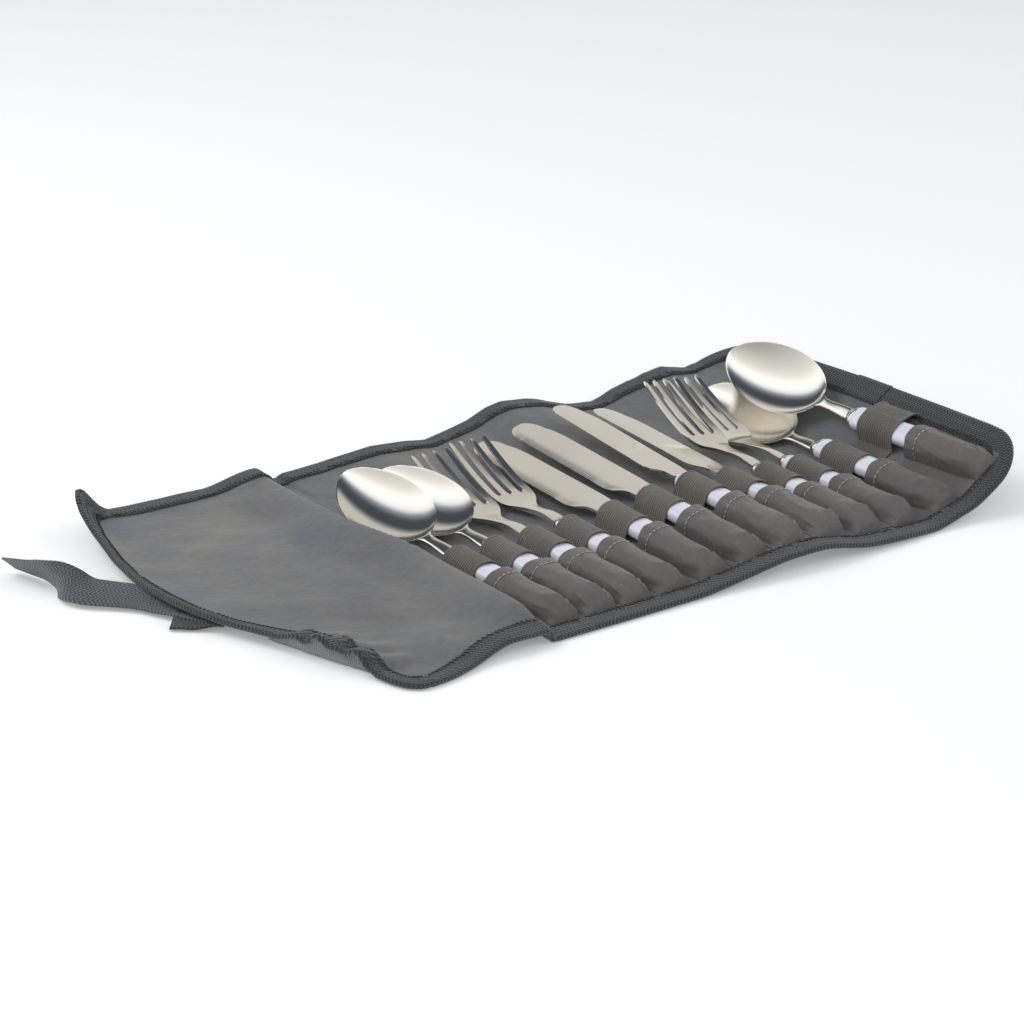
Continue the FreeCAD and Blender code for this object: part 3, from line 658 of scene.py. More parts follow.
# ------------------------------------------------------------------ folded edge tape
# (distance in from the edge, height over the underside) around the folded section
TAPE_SECTION = np.array([
    (12.0, 2.65), (11.6, 2.9), (10.5, 3.0), (9.4, 3.05), (8.4, 3.05), (7.35, 3.08), (6.3, 3.1),
    (5.25, 3.1), (4.2, 3.1), (3.15, 3.08), (2.1, 3.05), (1.2, 2.95), (0.5, 2.7), (-0.05, 2.2),
    (-0.25, 1.5), (-0.1, 0.8), (0.4, 0.25), (1.2, 0.0), (3.0, -0.02), (6.0, -0.02),
    (9.0, -0.02), (12.0, 0.0), (12.0, 0.22), (2.0, 0.24), (1.3, 1.0), (1.3, 1.9), (2.0, 2.0),
    (12.0, 2.1)])
TAPE_ARC = arc_length(TAPE_SECTION)
RIDGED = np.arange(len(TAPE_SECTION)) < 17  # section points that carry the woven ridges
# (y, tape width as a share of the full width) along the flap's free edge
FLAP_TAPE_WIDTH = [(-140.6, 0.72), (-131, 0.66), (-121, 0.66), (-108, 0.8), (-95, 0.95),
                   (-82, 0.95), (-66, 0.8), (-49, 0.56), (-33, 0.44), (-16, 0.4), (82, 0.4),
                   (95, 0.5), (104, 0.68), (114, 0.82), (132, 0.9)]


def add_tape(builder, path, side, start, lift=0.0, zigzag=True, width=None):
    """Sweeps the section along a plan path; side=+1 puts the cloth on the path's left."""
    tangent = unit(np.gradient(path, axis=0))
    inward = np.stack([-tangent[:, 1], tangent[:, 0]], -1) * side
    dist = arc_length(path)
    width = np.ones(len(dist)) if width is None else width

    def place(inset, height, origin, direction):
        spot = origin + direction * inset[..., None]
        return surface(spot[..., 0], spot[..., 1], height + lift)

    depth = TAPE_SECTION[None, :, 0]
    ripple = 0.35 * vnoise(dist + start, 0 * dist, 7.0, 21)
    inset = (np.where(depth > 0, depth * width[:, None], depth)
             + np.where(depth > 8, ripple[:, None], 0.0))
    zig = np.abs((TAPE_ARC[None, :] / HERRINGBONE_WIDTH) % 1.0 - 0.5) * HERRINGBONE_WIDTH
    phase = (dist[:, None] + start + 0.9 * zig) / HERRINGBONE_RIB
    ridge = np.abs(phase % 1.0 - 0.5) * 2.0
    inset = inset - np.where(RIDGED & (depth < 1.0), 0.26 * ridge, 0.0)
    height = TAPE_SECTION[None, :, 1] + np.where(RIDGED, 0.24 * ridge - 0.1, 0.0)
    uv = np.stack(np.broadcast_arrays(dist[:, None] + start, TAPE_ARC[None, :]), -1)
    builder.tube(place(inset, height, path[:, None, :], inward[:, None, :]), uv)
    if not zigzag:
        return
    # zigzag stitch that steps over the tape's inner edge
    at = np.linspace(2.0, dist[-1] - 2.0, int(dist[-1] / 0.65))
    swing = np.abs(((at + start) / 2.6) % 1.0 - 0.5) * 4 - 1
    scale = np.interp(at, dist, width)
    inset = 10.7 * scale + 1.9 * swing * np.sqrt(scale)
    height = np.where(inset > 12.05 * scale, 2.25, 3.2)
    stitch = place(inset, height, resample(at, dist, path), resample(at, dist, inward))
    builder.cord(stitch, 0.36, sides=5, slot=1)


def near_line(x_from, x_to):
    x = np.linspace(x_from, x_to, max(3, int(abs(x_to - x_from) / 0.55) + 1))
    return np.stack([x, near_y(x)], -1)


def far_line(x_from, x_to):
    path = near_line(x_from, x_to)
    path[:, 1] = FAR_Y
    return path


def add_flap_tape(builder):
    near = near_line(0.0, FLAP_OUTLINE[0][0])
    add_tape(builder, near, -1, 0.0, width=interp([(-99, 0.72), (-62, 1.0)], near[:, 0]))
    add_tape(builder, FLAP_CURVE, -1, 40.0, width=interp(FLAP_TAPE_WIDTH, FLAP_CURVE[:, 1]))
    far = far_line(FLAP_OUTLINE[-1][0], 0.0)
    add_tape(builder, far, -1, 90.0, width=interp([(-133, 0.9), (-120, 1.0)], far[:, 0]))


def add_rim_tape(builder, x_from):
    a = np.linspace(0, np.pi / 2, 72)
    centre_x = RIM_X - CORNER_RADIUS
    near = near_line(x_from, centre_x)
    near_corner = np.stack([centre_x + CORNER_RADIUS * np.sin(a),
                            NEAR_Y + CORNER_RADIUS - CORNER_RADIUS * np.cos(a)], -1)
    rim_y = np.linspace(NEAR_Y + CORNER_RADIUS, FAR_Y - CORNER_RADIUS, 386)
    rim = np.stack([np.full(386, RIM_X), rim_y], -1)
    far_corner = np.stack([centre_x + CORNER_RADIUS * np.cos(a),
                           FAR_Y - CORNER_RADIUS + CORNER_RADIUS * np.sin(a)], -1)
    far = far_line(centre_x, x_from)
    path = np.concatenate([near, near_corner[1:], rim[1:], far_corner[1:], far[1:]])
    add_tape(builder, path, 1, 13.0)
    # short second layer on the rim
    overlap = np.stack([np.full(50, RIM_X + 0.15), np.linspace(-21.0, 6.0, 50)], -1)
    add_tape(builder, overlap, 1, 4.0, lift=0.75, zigzag=False)


for zone in ZONES:
    builder = MeshBuilder()
    if zone.x_from is None:
        add_flap_tape(builder)
    elif zone.x_to is None:
        add_rim_tape(builder, zone.x_from)
    else:
        add_tape(builder, near_line(zone.x_from, zone.x_to), 1, zone.x_from)
        add_tape(builder, far_line(zone.x_to, zone.x_from), 1, -zone.x_to)
    tape = builder.to_object("edge_tape_" + zone.name, [TAPE, DARK_THREAD], 60)
    bend(tape, zone)
    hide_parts(*[panel + "_edge_tape" for panel in zone.panels])

# ------------------------------------------------------------------ fall of outer cloth
# (x, y) where the cloth hanging below the flap's near-left edge meets the table
FALL_FOOT = spline([(-110.0, -127.0), (-113.0, -118.0), (-117.4, -104.3), (-123.5, -88.3),
                    (-128.9, -70.7), (-135.1, -50.2)], 1.0)
FALL_OUTWARD = np.array([-0.93, -0.37, 0.0])


def make_fall():
    along = np.linspace(0, 1, len(FALL_FOOT))
    top_y = np.interp(along, [0, 1], [-125.0, -57.0])
    top_x = interp(FLAP_EDGE, top_y) + 2.0
    top_z = underside(top_x, top_y) + 0.25
    rows = []
    for t in np.linspace(0, 1, 14):
        belly = (1.5 * np.sin(np.pi * t) * np.sin(np.pi * along)
                 + 0.35 * vnoise(along * 60, t * 9 + 0 * along, 5.0, 33))
        line = np.stack([top_x * (1 - t) + FALL_FOOT[:, 0] * t,
                         top_y * (1 - t) + FALL_FOOT[:, 1] * t,
                         top_z * (1 - t) ** 0.9 + 0.3], -1)
        rows.append(line + FALL_OUTWARD * belly[:, None])
    outside = np.stack(rows)
    uv = np.stack(np.broadcast_arrays(np.arange(len(along))[None, :] * 1.0,
                                      np.linspace(0, 9, 14)[:, None]), -1)
    builder = MeshBuilder()
    builder.slab(outside, outside - FALL_OUTWARD * 0.9, uv)
    fall = builder.to_object("flap_outer_cloth_fall", [OUTER])
    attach(fall, "flap")


make_fall()

# ------------------------------------------------------------------ cutlery placement
# Flat facets of the bay line; bay 8 has two.
FACET_NAMES = ["bay1", "bay2", "bay3", "bay4", "bay5", "bay6", "bay7", "bay8a", "bay8b"]
FACETS = dict(zip(FACET_NAMES, zip(BAY_LINE[:-2], BAY_LINE[1:-1])))
# x: centre on the facet; yaw: turn of the whole piece in plan; pull: slid out towards +y;
# roll, rise, turn: roll, tip rise and yaw of the head against its grip;
# taper: length of the pocket's narrowing end; slack: how far that end sags sideways.
# Angles in degrees, lengths in mm.
Piece = namedtuple("Piece", "name facet x yaw pull roll rise turn taper slack")
PIECES = [Piece(*row) for row in (
    ("spoon1", "bay1", 11.2, -1.5, 0.0, 17.0, 1.8, 0.0, 15.0, 1),
    ("spoon2", "bay1", 33.7, -1.0, 0.0, 17.0, -1.2, 0.0, 16.0, 1),
    ("fork1", "bay2", 11.6, 0.0, 0.0, 0.0, 0.0, 1.0, 13.5, 0.6),
    ("fork2", "bay2", 34.5, 0.7, 2.5, 0.0, 0.5, 1.8, 14.0, 1),
    ("knife1", "bay3", 13.9, 1.8, 0.6, 0.0, 0.8, 0.0, 15.0, 0.8),
    ("knife2", "bay4", 13.4, 1.6, 0.0, 0.0, 1.8, 0.6, 13.0, 1),
    ("knife3", "bay5", 13.2, 2.4, 4.0, -9.0, 3.0, 1.2, 14.5, 0.7),
    ("knife4", "bay6", 13.0, 2.0, 0.0, 0.0, 2.1, 0.9, 14.0, 1),
    ("fork3", "bay7", 12.6, 3.4, 3.0, 0.0, 6.0, -1.6, 16.0, 1),
    ("fork4", "bay7", 38.2, 1.2, 6.0, 0.0, 4.2, -1.7, 17.5, 1),
    ("spoon3", "bay8a", 16.2, -0.2, 8.5, 8.0, -4.4, 0.0, 19.0, 1.2),
    ("spoon4", "bay8b", 20.6, -1.6, 8.5, 2.0, 4.6, 0.0, 15.0, 0.5))]
FAINT_TUCKS = ("fork2", "fork4", "spoon3")  # pockets whose end tuck is weaker
BUTT_Y = -118.2
PIVOT_REACH = 21.5  # from the butt to the point a piece yaws about
PIECE_Z = 7.6  # grip axis over the facet
NECK_Y = 76.0  # where a head tilts against its grip, from the butt


def facet_frame(name):
    (x0, z0), (x1, z1) = FACETS[name]
    slope = Matrix.Rotation(-math.atan2(z1 - z0, x1 - x0), 4, "Y")
    return Matrix.Translation((x0, 0, z0)) @ slope, math.hypot(x1 - x0, z1 - z0)


def centre_x(piece, y):
    """x of the piece's centre line on its facet."""
    return piece.x + math.tan(math.radians(piece.yaw)) * (y - (BUTT_Y + PIVOT_REACH))


def place_piece(piece):
    """Matrices of the grip and of the head."""
    seat_x = piece.x - math.tan(math.radians(piece.yaw)) * (PIVOT_REACH - piece.pull)
    seat = (Matrix.Translation((seat_x, BUTT_Y + piece.pull, PIECE_Z))
            @ Matrix.Rotation(math.radians(-piece.yaw), 4, "Z"))
    tilt = (Matrix.Translation((0, NECK_Y, 0))
            @ Matrix.Rotation(math.atan2(piece.rise, 74.0), 4, "X")
            @ Matrix.Rotation(math.radians(-piece.turn), 4, "Z")
            @ Matrix.Translation((0, -NECK_Y, 0)))
    grip = facet_frame(piece.facet)[0] @ seat
    return grip, grip @ tilt @ Matrix.Rotation(math.radians(-piece.roll), 4, "Y")


# ------------------------------------------------------------------ pockets and elastic
POCKET_START = -120.4
POCKET_SEAM = 44.0  # stitched line, measured from the pocket's sewn end
TUBE_GAP = 8.3  # half width left free for a tube between the flat strips


def arch(theta, half_width, height, squareness):
    """Superellipse arch over the facet."""
    power = 2 / squareness
    return (half_width * signed_power(np.cos(theta), power),
            height * np.abs(np.sin(theta)) ** power)


def add_skins(builder, piece, k, outer, inner, y, v_start):
    """Adds a tube's two skins, with UVs that run round it and along y."""
    arc = arc_length(outer[30])
    uv = np.stack(np.broadcast_arrays(arc[None, :] + 40 * k, y - v_start), -1)
    frame = facet_frame(piece.facet)[0]
    builder.slab(transform(frame, outer), transform(frame, inner), uv)


def add_pocket(builder, k, piece):
    from_end = np.r_[np.linspace(0, 1, 34) ** 1.3 * 20.0, np.linspace(20.0, 43.2, 20)[1:],
                     np.linspace(43.4, 51.8, 11)]
    y, theta = np.meshgrid(POCKET_START + from_end, np.linspace(np.pi, 0, 61), indexing="ij")
    s = y - POCKET_START
    end = np.clip(1 - s / piece.taper, 0, 1)
    slack = piece.slack
    half_width = 8.9 + 0.25 * np.sin(s / 9.0 + k) + 0.6 * ease((s - 38) / 13.0) - 1.6 * end ** 2
    height = 10.9 + 0.2 * np.sin(s / 7.0 + 2 * k) + 0.5 * ease((s - 34) / 17.0)
    height = height * (0.16 + 0.84 * (1 - end ** 2.6) ** 0.62)
    height = height * (0.15 + 0.85 * ease(s / 1.6 + 0.1))
    x, z = arch(theta, half_width, height, 2.55 - 0.4 * end)
    across = x / half_width
    drift = 3.4 * slack * end ** 1.6 * ease((z + 1.0) / 5.0)
    # slack skin: long soft folds along the tube, a dished flank and a tuck at the sewn end
    loose = (0.34 * (1 + vnoise(theta * 5.0 + 31 * k, y * 0.10, 2.4, 40 + k))
             + 0.16 * (1 + vnoise(theta * 7.0, y * 0.35, 2.2, 60 + k)))
    fold = vnoise(theta * 4.2 + 17 * k + s * 0.06, y * 0.07, 2.1, 140 + k)
    fold = (1 - np.abs(fold)) ** 6
    loose = loose + (0.75 * fold * (0.35 + 0.65 * end)
                     * ease((s - 1.5) / 5.0) * ease((44 - s) / 6.0))
    loose = loose * ease(s / 4.0) * ease((z - 0.3) / 2.0)
    dish = (-1.9 * end ** 0.9 * ease((1 - end) / 0.25)
            * bell((across + 0.30) / 0.32) * slack)
    crest = (1.5 * bell((across - 0.28) / 0.14) * ease(end / 0.5)
             * ease((1 - end) / 0.3) * slack)
    curl_at = 3.2 + 9.0 * np.clip(across - 0.30, 0, 0.5) ** 1.5 * 2.0
    gate = (ease((across - 0.22) / 0.18) * ease((0.98 - across) / 0.12)
            * (0.4 if piece.name in FAINT_TUCKS else 1.0))
    tuck = gate * (0.45 * bell((s - curl_at) / 0.85) - 1.1 * bell((s - curl_at - 2.1) / 1.0))
    sag = -0.24 * ease((s - 22) / 8.0) * ease((40 - s) / 6.0) * bell((across - 0.75) / 0.3)
    hem = 0.35 * ease((s - 43.3) / 0.5)
    groove = -0.30 * bell((s - POCKET_SEAM) / 0.5)
    swell = 0.20 + loose + dish + crest + tuck + sag + hem + groove
    lip = (0.9 * np.sin(2.6 * theta + k) * ease((s - 42.0) / 9.0)
           - 0.9 * np.cos(theta) * ease((s - 40.0) / 10.0))
    flare = 0.9 * bell(z / 1.6) * np.sign(np.cos(theta))
    middle = centre_x(piece, y) + drift
    normal_x, normal_z = np.cos(theta), np.sin(theta)

    def skin(offset, floor_z):
        height_z = np.maximum(2.05 + z + normal_z * offset, floor_z)
        return np.stack([middle + x + flare + normal_x * offset, y + lip, height_z], -1)

    outer = skin(swell, 2.05)
    add_skins(builder, piece, k, outer, skin(swell - 0.62 - hem, 1.95), y, 0.0)

    # pale thread, one short stitch after another
    row = int(np.argmin(np.abs(from_end - POCKET_SEAM)))
    line = outer[row]
    normal = np.stack([normal_x[row], 0 * normal_x[row], normal_z[row]], -1)
    arc = arc_length(line)
    hump = np.sin(np.linspace(0, np.pi, 5)) * 0.26 + 0.10
    frame = facet_frame(piece.facet)[0]
    start = 1.5
    while start + 2.2 < arc[-1] - 1.0:
        at = np.linspace(start, start + 2.3, 5)
        stitch = resample(at, arc, line) + resample(at, arc, normal) * hump[:, None]
        builder.cord(transform(frame, stitch), [0.08, 0.19, 0.22, 0.19, 0.08], sides=6, slot=1)
        start += 3.0


def add_elastic(builder, k, piece):
    rows = np.linspace(ELASTIC_START, ELASTIC_START + ELASTIC_LENGTH, ELASTIC_RIBS * 8 + 1)
    y, theta = np.meshgrid(rows, np.linspace(np.pi, 0, 53), indexing="ij")
    s = (y - ELASTIC_START) / ELASTIC_LENGTH
    edge = bell(s / 0.06) + bell((1 - s) / 0.06)
    height = 10.75 + 0.4 * edge + 0.15 * np.sin(5 * s + k)
    x, z = arch(theta, 8.25 + 0.35 * edge, height, 2.5)
    flare = (0.9 + 0.8 * bell(z / 2.2)) * bell(z / 4.5) * np.sign(np.cos(theta))
    if piece.name == "spoon4":
        # the last loop slopes down to the facet on its +x side
        x = np.where(x > 4.6, 4.6 + np.clip(x - 4.6, 0, None) * 3.1, x)
        slope = height * np.clip(1 - (x - 4.0) / 13.4, 0, 1) ** 0.9
        z = np.where(theta < np.pi / 2, np.maximum(z, slope), z)
        flare = np.where(x > 0, 0, flare)
    rib = 0.42 * np.abs(np.sin(np.pi * (y - ELASTIC_START) / ELASTIC_PITCH)) - 0.24
    rib = rib + 0.10 * vnoise(x * 2 + 9 * k, y, 2.2, 90 + k)
    skew = 0.8 * np.cos(theta) * (0.5 if k % 2 else -0.3)
    middle = centre_x(piece, y)

    def skin(offset):
        return np.stack([middle + x + flare + np.cos(theta) * offset, y + skew,
                         2.1 + z + np.sin(theta) * offset], -1)

    add_skins(builder, piece, k, skin(0.62 + rib), skin(-0.12), y, ELASTIC_START)


def add_flats(builder, pieces, facet, y_from, y_to, thickness, wave):
    """Flat strips of cloth between the tubes."""
    frame, width = facet_frame(facet)
    rows = np.linspace(y_from, y_to, 24)
    trim = 2.8 if facet == "bay8b" else 0.3
    centres = [centre_x(piece, rows) for piece in pieces]
    starts = [np.full_like(rows, 0.3)] + [centre + TUBE_GAP for centre in centres]
    ends = [centre - TUBE_GAP for centre in centres] + [np.full_like(rows, width - trim)]
    for start, end in zip(starts, ends):
        end = np.maximum(end, start + 0.3)
        x = start[:, None] + (end - start)[:, None] * np.linspace(0, 1, 7)[None, :]
        y = np.repeat(rows[:, None], 7, 1)
        z = 2.0 + thickness + wave * vnoise(x, y, 5.0, 77)
        top = np.stack([x, y, z], -1)
        low = np.stack([x, y, z - thickness], -1)
        builder.slab(transform(frame, top), transform(frame, low), np.stack([x, y], -1))


for i in range(1, 9):
    bay = f"bay{i}"
    pockets, loops = MeshBuilder(), MeshBuilder()
    for facet in FACET_NAMES:
        if not facet.startswith(bay):
            continue
        members = [piece for piece in PIECES if piece.facet == facet]
        for piece in members:
            add_pocket(pockets, PIECES.index(piece), piece)
            add_elastic(loops, PIECES.index(piece), piece)
        add_flats(pockets, members, facet, -119.6, -68.4, thickness=0.5, wave=0.25)
        add_flats(loops, members, facet, -56.6, -30.4, thickness=1.0, wave=0.1)
    pocket_cloth = pockets.to_object(bay + "_pocket_cloth", [POCKET, PALE_THREAD], 60)
    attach(pocket_cloth, bay)
    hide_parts(bay + "_pockets")
    elastic_loops = loops.to_object(bay + "_elastic_loops", [ELASTIC], 60)
    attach(elastic_loops, bay)
    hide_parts(bay + "_elastic")

# ------------------------------------------------------------------ flatware heads
# Each piece is drawn along y from its butt at 0, centred on x = 0 and z = 0.
# (y, x) of the blade's back and of its cutting edge
KNIFE_SPINE = [(61, 3.0), (89, 3.0), (91, 5.6), (96, 7.9), (106, 8.4), (178, 8.4), (189, 7.6),
               (198.5, 5.6), (205, 2.4), (209, -0.6), (211, -3.1)]
KNIFE_EDGE = [(61, -3.0), (89, -3.0), (90.6, -5.0), (96, -5.3), (101, -6.6), (105, -10.4),
              (110, -12.2), (114, -12.4), (187.5, -12.4), (196.5, -12.1), (202.5, -10.8),
              (207, -8.4), (210, -5.6), (211, -3.1)]
KNIFE_END = 211.0
KNIFE_TIP_START, KNIFE_TIP_X = 197.0, -2.4  # where the tip starts rounding, and its centre


def make_knife():
    rows = np.r_[np.linspace(61, 88, 12), np.linspace(88.6, 114, 40)[1:],
                 np.linspace(114.4, 193, 230)[1:],
                 KNIFE_END - 18.0 * (1 - np.sin(np.linspace(0.02, np.pi / 2, 30)))]
    tip = np.sqrt(np.clip(1 - ((rows - KNIFE_TIP_START) / 14.0).clip(0, 1) ** 2, 0, 1))

    def rounded(side_x):
        at_tip = np.interp(KNIFE_TIP_START, rows, side_x)
        return np.where(rows > KNIFE_TIP_START,
                        KNIFE_TIP_X + (at_tip - KNIFE_TIP_X) * tip, side_x)

    spine = rounded(soft_curve(KNIFE_SPINE, rows, 0.9))
    edge = rounded(soft_curve(KNIFE_EDGE, rows, 0.9))
    spine[-1], edge[-1] = KNIFE_TIP_X + 0.15, KNIFE_TIP_X - 0.15
    saw = np.abs((rows / 1.7) % 1.0 - 0.5) * 2.0
    serrated = ease((rows - 118) / 6.0) * ease((201 - rows) / 6.0)
    edge = edge + 0.75 * saw * serrated
    across = np.array([0, 0.03, 0.09, 0.17, 0.27, 0.4, 0.55, 0.7, 0.84, 0.94, 1.0])
    x = edge[:, None] + (spine - edge)[:, None] * across[None, :]
    column = rows[:, None]
    from_edge = x - edge[:, None]
    # half thickness: ground thin towards the edge and the tip, thick where it meets the grip
    half = 0.8 - 0.58 * np.clip(1 - from_edge / 5.2, 0, 1) * ease((column - 98) / 12.0)
    half = half - 0.12 * ease((column - 188) / 22.0)
    half = np.where(column < 92, 1.5 - 0.7 * ease((column - 88) / 4.0), half)
    scallop = 0.10 * (saw * serrated)[:, None] * np.clip(1 - from_edge / 1.8, 0, 1)
    crown = 0.10 * np.sin(np.pi * across)[None, :]
    builder = MeshBuilder()
    builder.masked_sheet(x, np.repeat(column, len(across), 1), half - scallop + crown, -half,
                         np.ones((len(rows) - 1, len(across) - 1), bool))
    return builder


# (y, half width) and (y, centre height) of the fork
FORK_WIDTH = [(61, 3.0), (88.5, 3.0), (90, 3.9), (98, 3.7), (112, 2.9), (122, 4.0), (127, 6.6),
              (131, 9.6), (136, 11.6), (143, 12.2), (190, 12.2)]
FORK_PROFILE = [(61, 0), (92, 0), (104, 0.3), (118, -1.8), (132, -2.6), (145, -0.8), (158, 3.0),
                (170, 7.6), (180, 11.9), (188, 15.6)]
FORK_HALF_WIDTH, TINE_WIDTH, SLOT_WIDTH, TINE_ROOT = 12.2, 3.925, 2.9, 143.0


def make_fork():
    rows = np.r_[np.linspace(61, 87, 8), np.linspace(88, 131, 34)[1:],
                 np.linspace(131, TINE_ROOT, 14)[1:], np.linspace(TINE_ROOT, 181, 34)[1:],
                 188.8 - 7.8 * (1 - np.sin(np.linspace(0.1, np.pi / 2, 12)))]
    half_width = soft_curve(FORK_WIDTH, rows, 1.7)
    centre_z = soft_curve(FORK_PROFILE, rows, 3.0)
    columns, tines = [], []
    for k in range(4):
        left = -FORK_HALF_WIDTH + k * (TINE_WIDTH + SLOT_WIDTH)
        columns += list(left + TINE_WIDTH * np.array([0, 0.12, 0.32, 0.5, 0.68, 0.88, 1.0]))
        tines.append(range(len(columns) - 7, len(columns)))
        if k < 3:
            columns += [left + TINE_WIDTH + SLOT_WIDTH * t for t in (0.25, 0.5, 0.75)]
    columns = np.array(columns)
    x = columns[None, :] / FORK_HALF_WIDTH * half_width[:, None]
    y = np.repeat(rows[:, None], len(columns), 1)
    root = int(np.argmin(np.abs(rows - TINE_ROOT)))
    up = np.clip((rows - TINE_ROOT) / 45.8, 0, 1)
    # tines narrow upwards and end in round tips
    tine_half = 1.90 - 0.36 * up - 0.45 * up ** 5
    tip = np.sqrt(np.clip(1 - ((rows - 184.4) / 4.45).clip(0, 1) ** 2, 0.0, 1))
    tine_half = tine_half * (0.10 + 0.90 * tip)
    for k, tine in enumerate(tines):
        centre = (columns[tine[0]] + columns[tine[-1]]) / 2
        shorter = 0.0 if k in (1, 2) else 0.7
        for j in tine:
            offset = (columns[j] - centre) / (TINE_WIDTH / 2)
            x[root:, j] = (centre * (1 + 0.05 * up) + offset * tine_half)[root:]
            y[root:, j] -= shorter * np.clip((rows[root:] - 168) / 18.0, 0, 1)
    # slots, with their floors pulled into a curve
    keep = np.ones((len(rows) - 1, len(columns) - 1), bool)
    for k in range(3):
        start, end = tines[k][-1], tines[k + 1][0]
        keep[root:, start:end] = False
        for j, dip in ((start + 1, -1.0), (start + 2, -1.45), (start + 3, -1.0)):
            y[root, j] += dip
            y[root - 1, j] += dip * 0.6
            y[root - 2, j] += dip * 0.3
    half = 0.85 - 0.18 * ease((rows - TINE_ROOT) / 46.0)
    half = np.where(rows < 92, 1.5 - 0.65 * ease((rows - 88) / 4.0), half)
    half = half + 0.45 * bell((rows - 112) / 12.0)
    crown = (0.35 * (1 - (x / np.maximum(half_width, 0.1)[:, None]) ** 2)
             * ease((130 - rows) / 14.0)[:, None] * ease((rows - 90) / 4.0)[:, None])
    dish = 0.9 * (x / FORK_HALF_WIDTH) ** 2 * ease((rows - 126) / 18.0)[:, None]
    builder = MeshBuilder()
    builder.masked_sheet(x, y, centre_z[:, None] + half[:, None] + crown + dish,
                         centre_z[:, None] - half[:, None] + dish, keep)
    return builder


# (y, half width) and (y, centre height) of the spoon's neck
SPOON_NECK_WIDTH = [(61, 3.0), (88.5, 3.0), (90, 4.0), (98, 3.8), (108, 3.0), (114, 3.3),
                    (120, 4.5)]
SPOON_NECK_PROFILE = [(61, 0), (92, 0), (102, 0.4), (112.5, 0.6), (118, 1.6), (125, 3.4)]
BOWL_LENGTH, BOWL_HALF_WIDTH, BOWL_PITCH = 68.6, 21.2, math.radians(13.0)
BOWL_Y, BOWL_Z = 115.6, 1.45  # where the bowl starts
HALF_STEPS = [0, 0.14, 0.28, 0.44, 0.6, 0.74, 0.86, 0.94, 0.985, 1.0]
ACROSS = [-step for step in HALF_STEPS[:0:-1]] + HALF_STEPS


def make_spoon():
    """Closed loops: the neck, then an egg-shaped bowl with a rounded rim."""
    rings = []
    neck_rows = np.r_[np.linspace(61, 87, 6), np.linspace(88, 114, 20)[1:]]
    neck_widths = soft_curve(SPOON_NECK_WIDTH, neck_rows, 1.5)
    neck_heights = soft_curve(SPOON_NECK_PROFILE, neck_rows, 2.5)
    for y, width, z in zip(neck_rows, neck_widths, neck_heights):
        half = 1.5 - 0.55 * ease((y - 88) / 5.0) + 0.35 * bell((y - 105) / 10.0)
        top = [(x * width, y, z + half * (1 - abs(x) ** 5) ** 0.5 + 0.2 * (1 - x * x))
               for x in ACROSS]
        low = [(x * width, y, z - half * (1 - abs(x) ** 5) ** 0.5) for x in ACROSS[::-1][1:-1]]
        rings.append(top + low)
    cos_pitch, sin_pitch = math.cos(BOWL_PITCH), math.sin(BOWL_PITCH)
    half = 0.62
    for s in 0.5 * (1 - np.cos(np.linspace(0.16, np.pi - 0.06, 64))) * BOWL_LENGTH:
        t = s / (BOWL_LENGTH / 2) - 1.0
        egg = BOWL_HALF_WIDTH * max(0.0, 1 - t * t) ** 0.5 * (1 - 0.085 * t)
        neck = 3.4 * (1 - ease((s - 1) / 12.0))
        width = (egg ** 3 + neck ** 3) ** (1 / 3.0)
        depth = 7.4 * (max(0.0, 1 - t * t) ** 0.72) * (1 - 0.12 * t)
        bow = -0.9 * (1 - t * t) + 0.4
        ring = []
        for x in ACROSS:
            z = -depth * (1 - x * x) ** 0.80 + bow
            ring.append((x * width, z + half * (1 - abs(x) ** 14) ** 0.5))
        for x in ACROSS[::-1][1:-1]:
            z = -depth * 1.03 * (1 - x * x) ** 0.80 + bow
            ring.append((x * (width + 0.25), z - half * (1 - abs(x) ** 14) ** 0.5))
        rings.append([(x, BOWL_Y + s * cos_pitch - z * sin_pitch,
                       BOWL_Z + s * sin_pitch + z * cos_pitch) for x, z in ring])
    builder = MeshBuilder()
    builder.tube(np.array(rings))
    return builder


# (y, scale) of the collar where the steel leaves the grip
COLLAR = [(87.5, 0.2), (87.7, 1.16), (88.6, 1.24), (89.6, 1.22), (90.0, 1.12), (91.2, 1.08),
          (92.4, 0.94), (93.4, 0.70), (93.8, 0.4)]


def collar_rings():
    a = np.linspace(0, 2 * np.pi, 28, endpoint=False)
    return np.stack([np.stack([4.9 * scale * signed_power(np.cos(a), 0.8), np.full_like(a, y),
                               3.3 * scale * signed_power(np.sin(a), 0.8)], -1)
                     for y, scale in COLLAR])


def grip_rings():
    """Flattened bar with a round butt and an eased nose."""
    a = np.linspace(0, 2 * np.pi, 48, endpoint=False)
    y = np.r_[2.6 + 11.0 * (1 - np.cos(np.linspace(0.10, np.pi / 2, 16))),
              np.linspace(13.6, 84.5, 26)[1:],
              88.0 - 3.5 * (1 - np.sin(np.linspace(0, np.pi / 2, 9)))[1:]]
    butt = np.sqrt(np.clip(1 - (np.clip(13.6 - y, 0, 11.0) / 11.05) ** 2, 0.0, 1))
    nose = np.sqrt(np.clip(1 - (np.clip(y - 84.5, 0, 3.5) / 3.5) ** 2, 0, 1))
    nose = 1 - 0.20 * (1 - nose)
    waist = 1 - 0.02 * np.sin((y - 20) / 22.0)
    half_width = 7.22 * butt * nose * waist
    half_height = 4.58 * (0.12 + 0.88 * butt) * nose
    return np.stack([half_width[:, None] * signed_power(np.cos(a), 0.72)[None, :],
                     np.repeat(y[:, None], 48, 1),
                     half_height[:, None] * signed_power(np.sin(a), 0.80)[None, :]], -1)


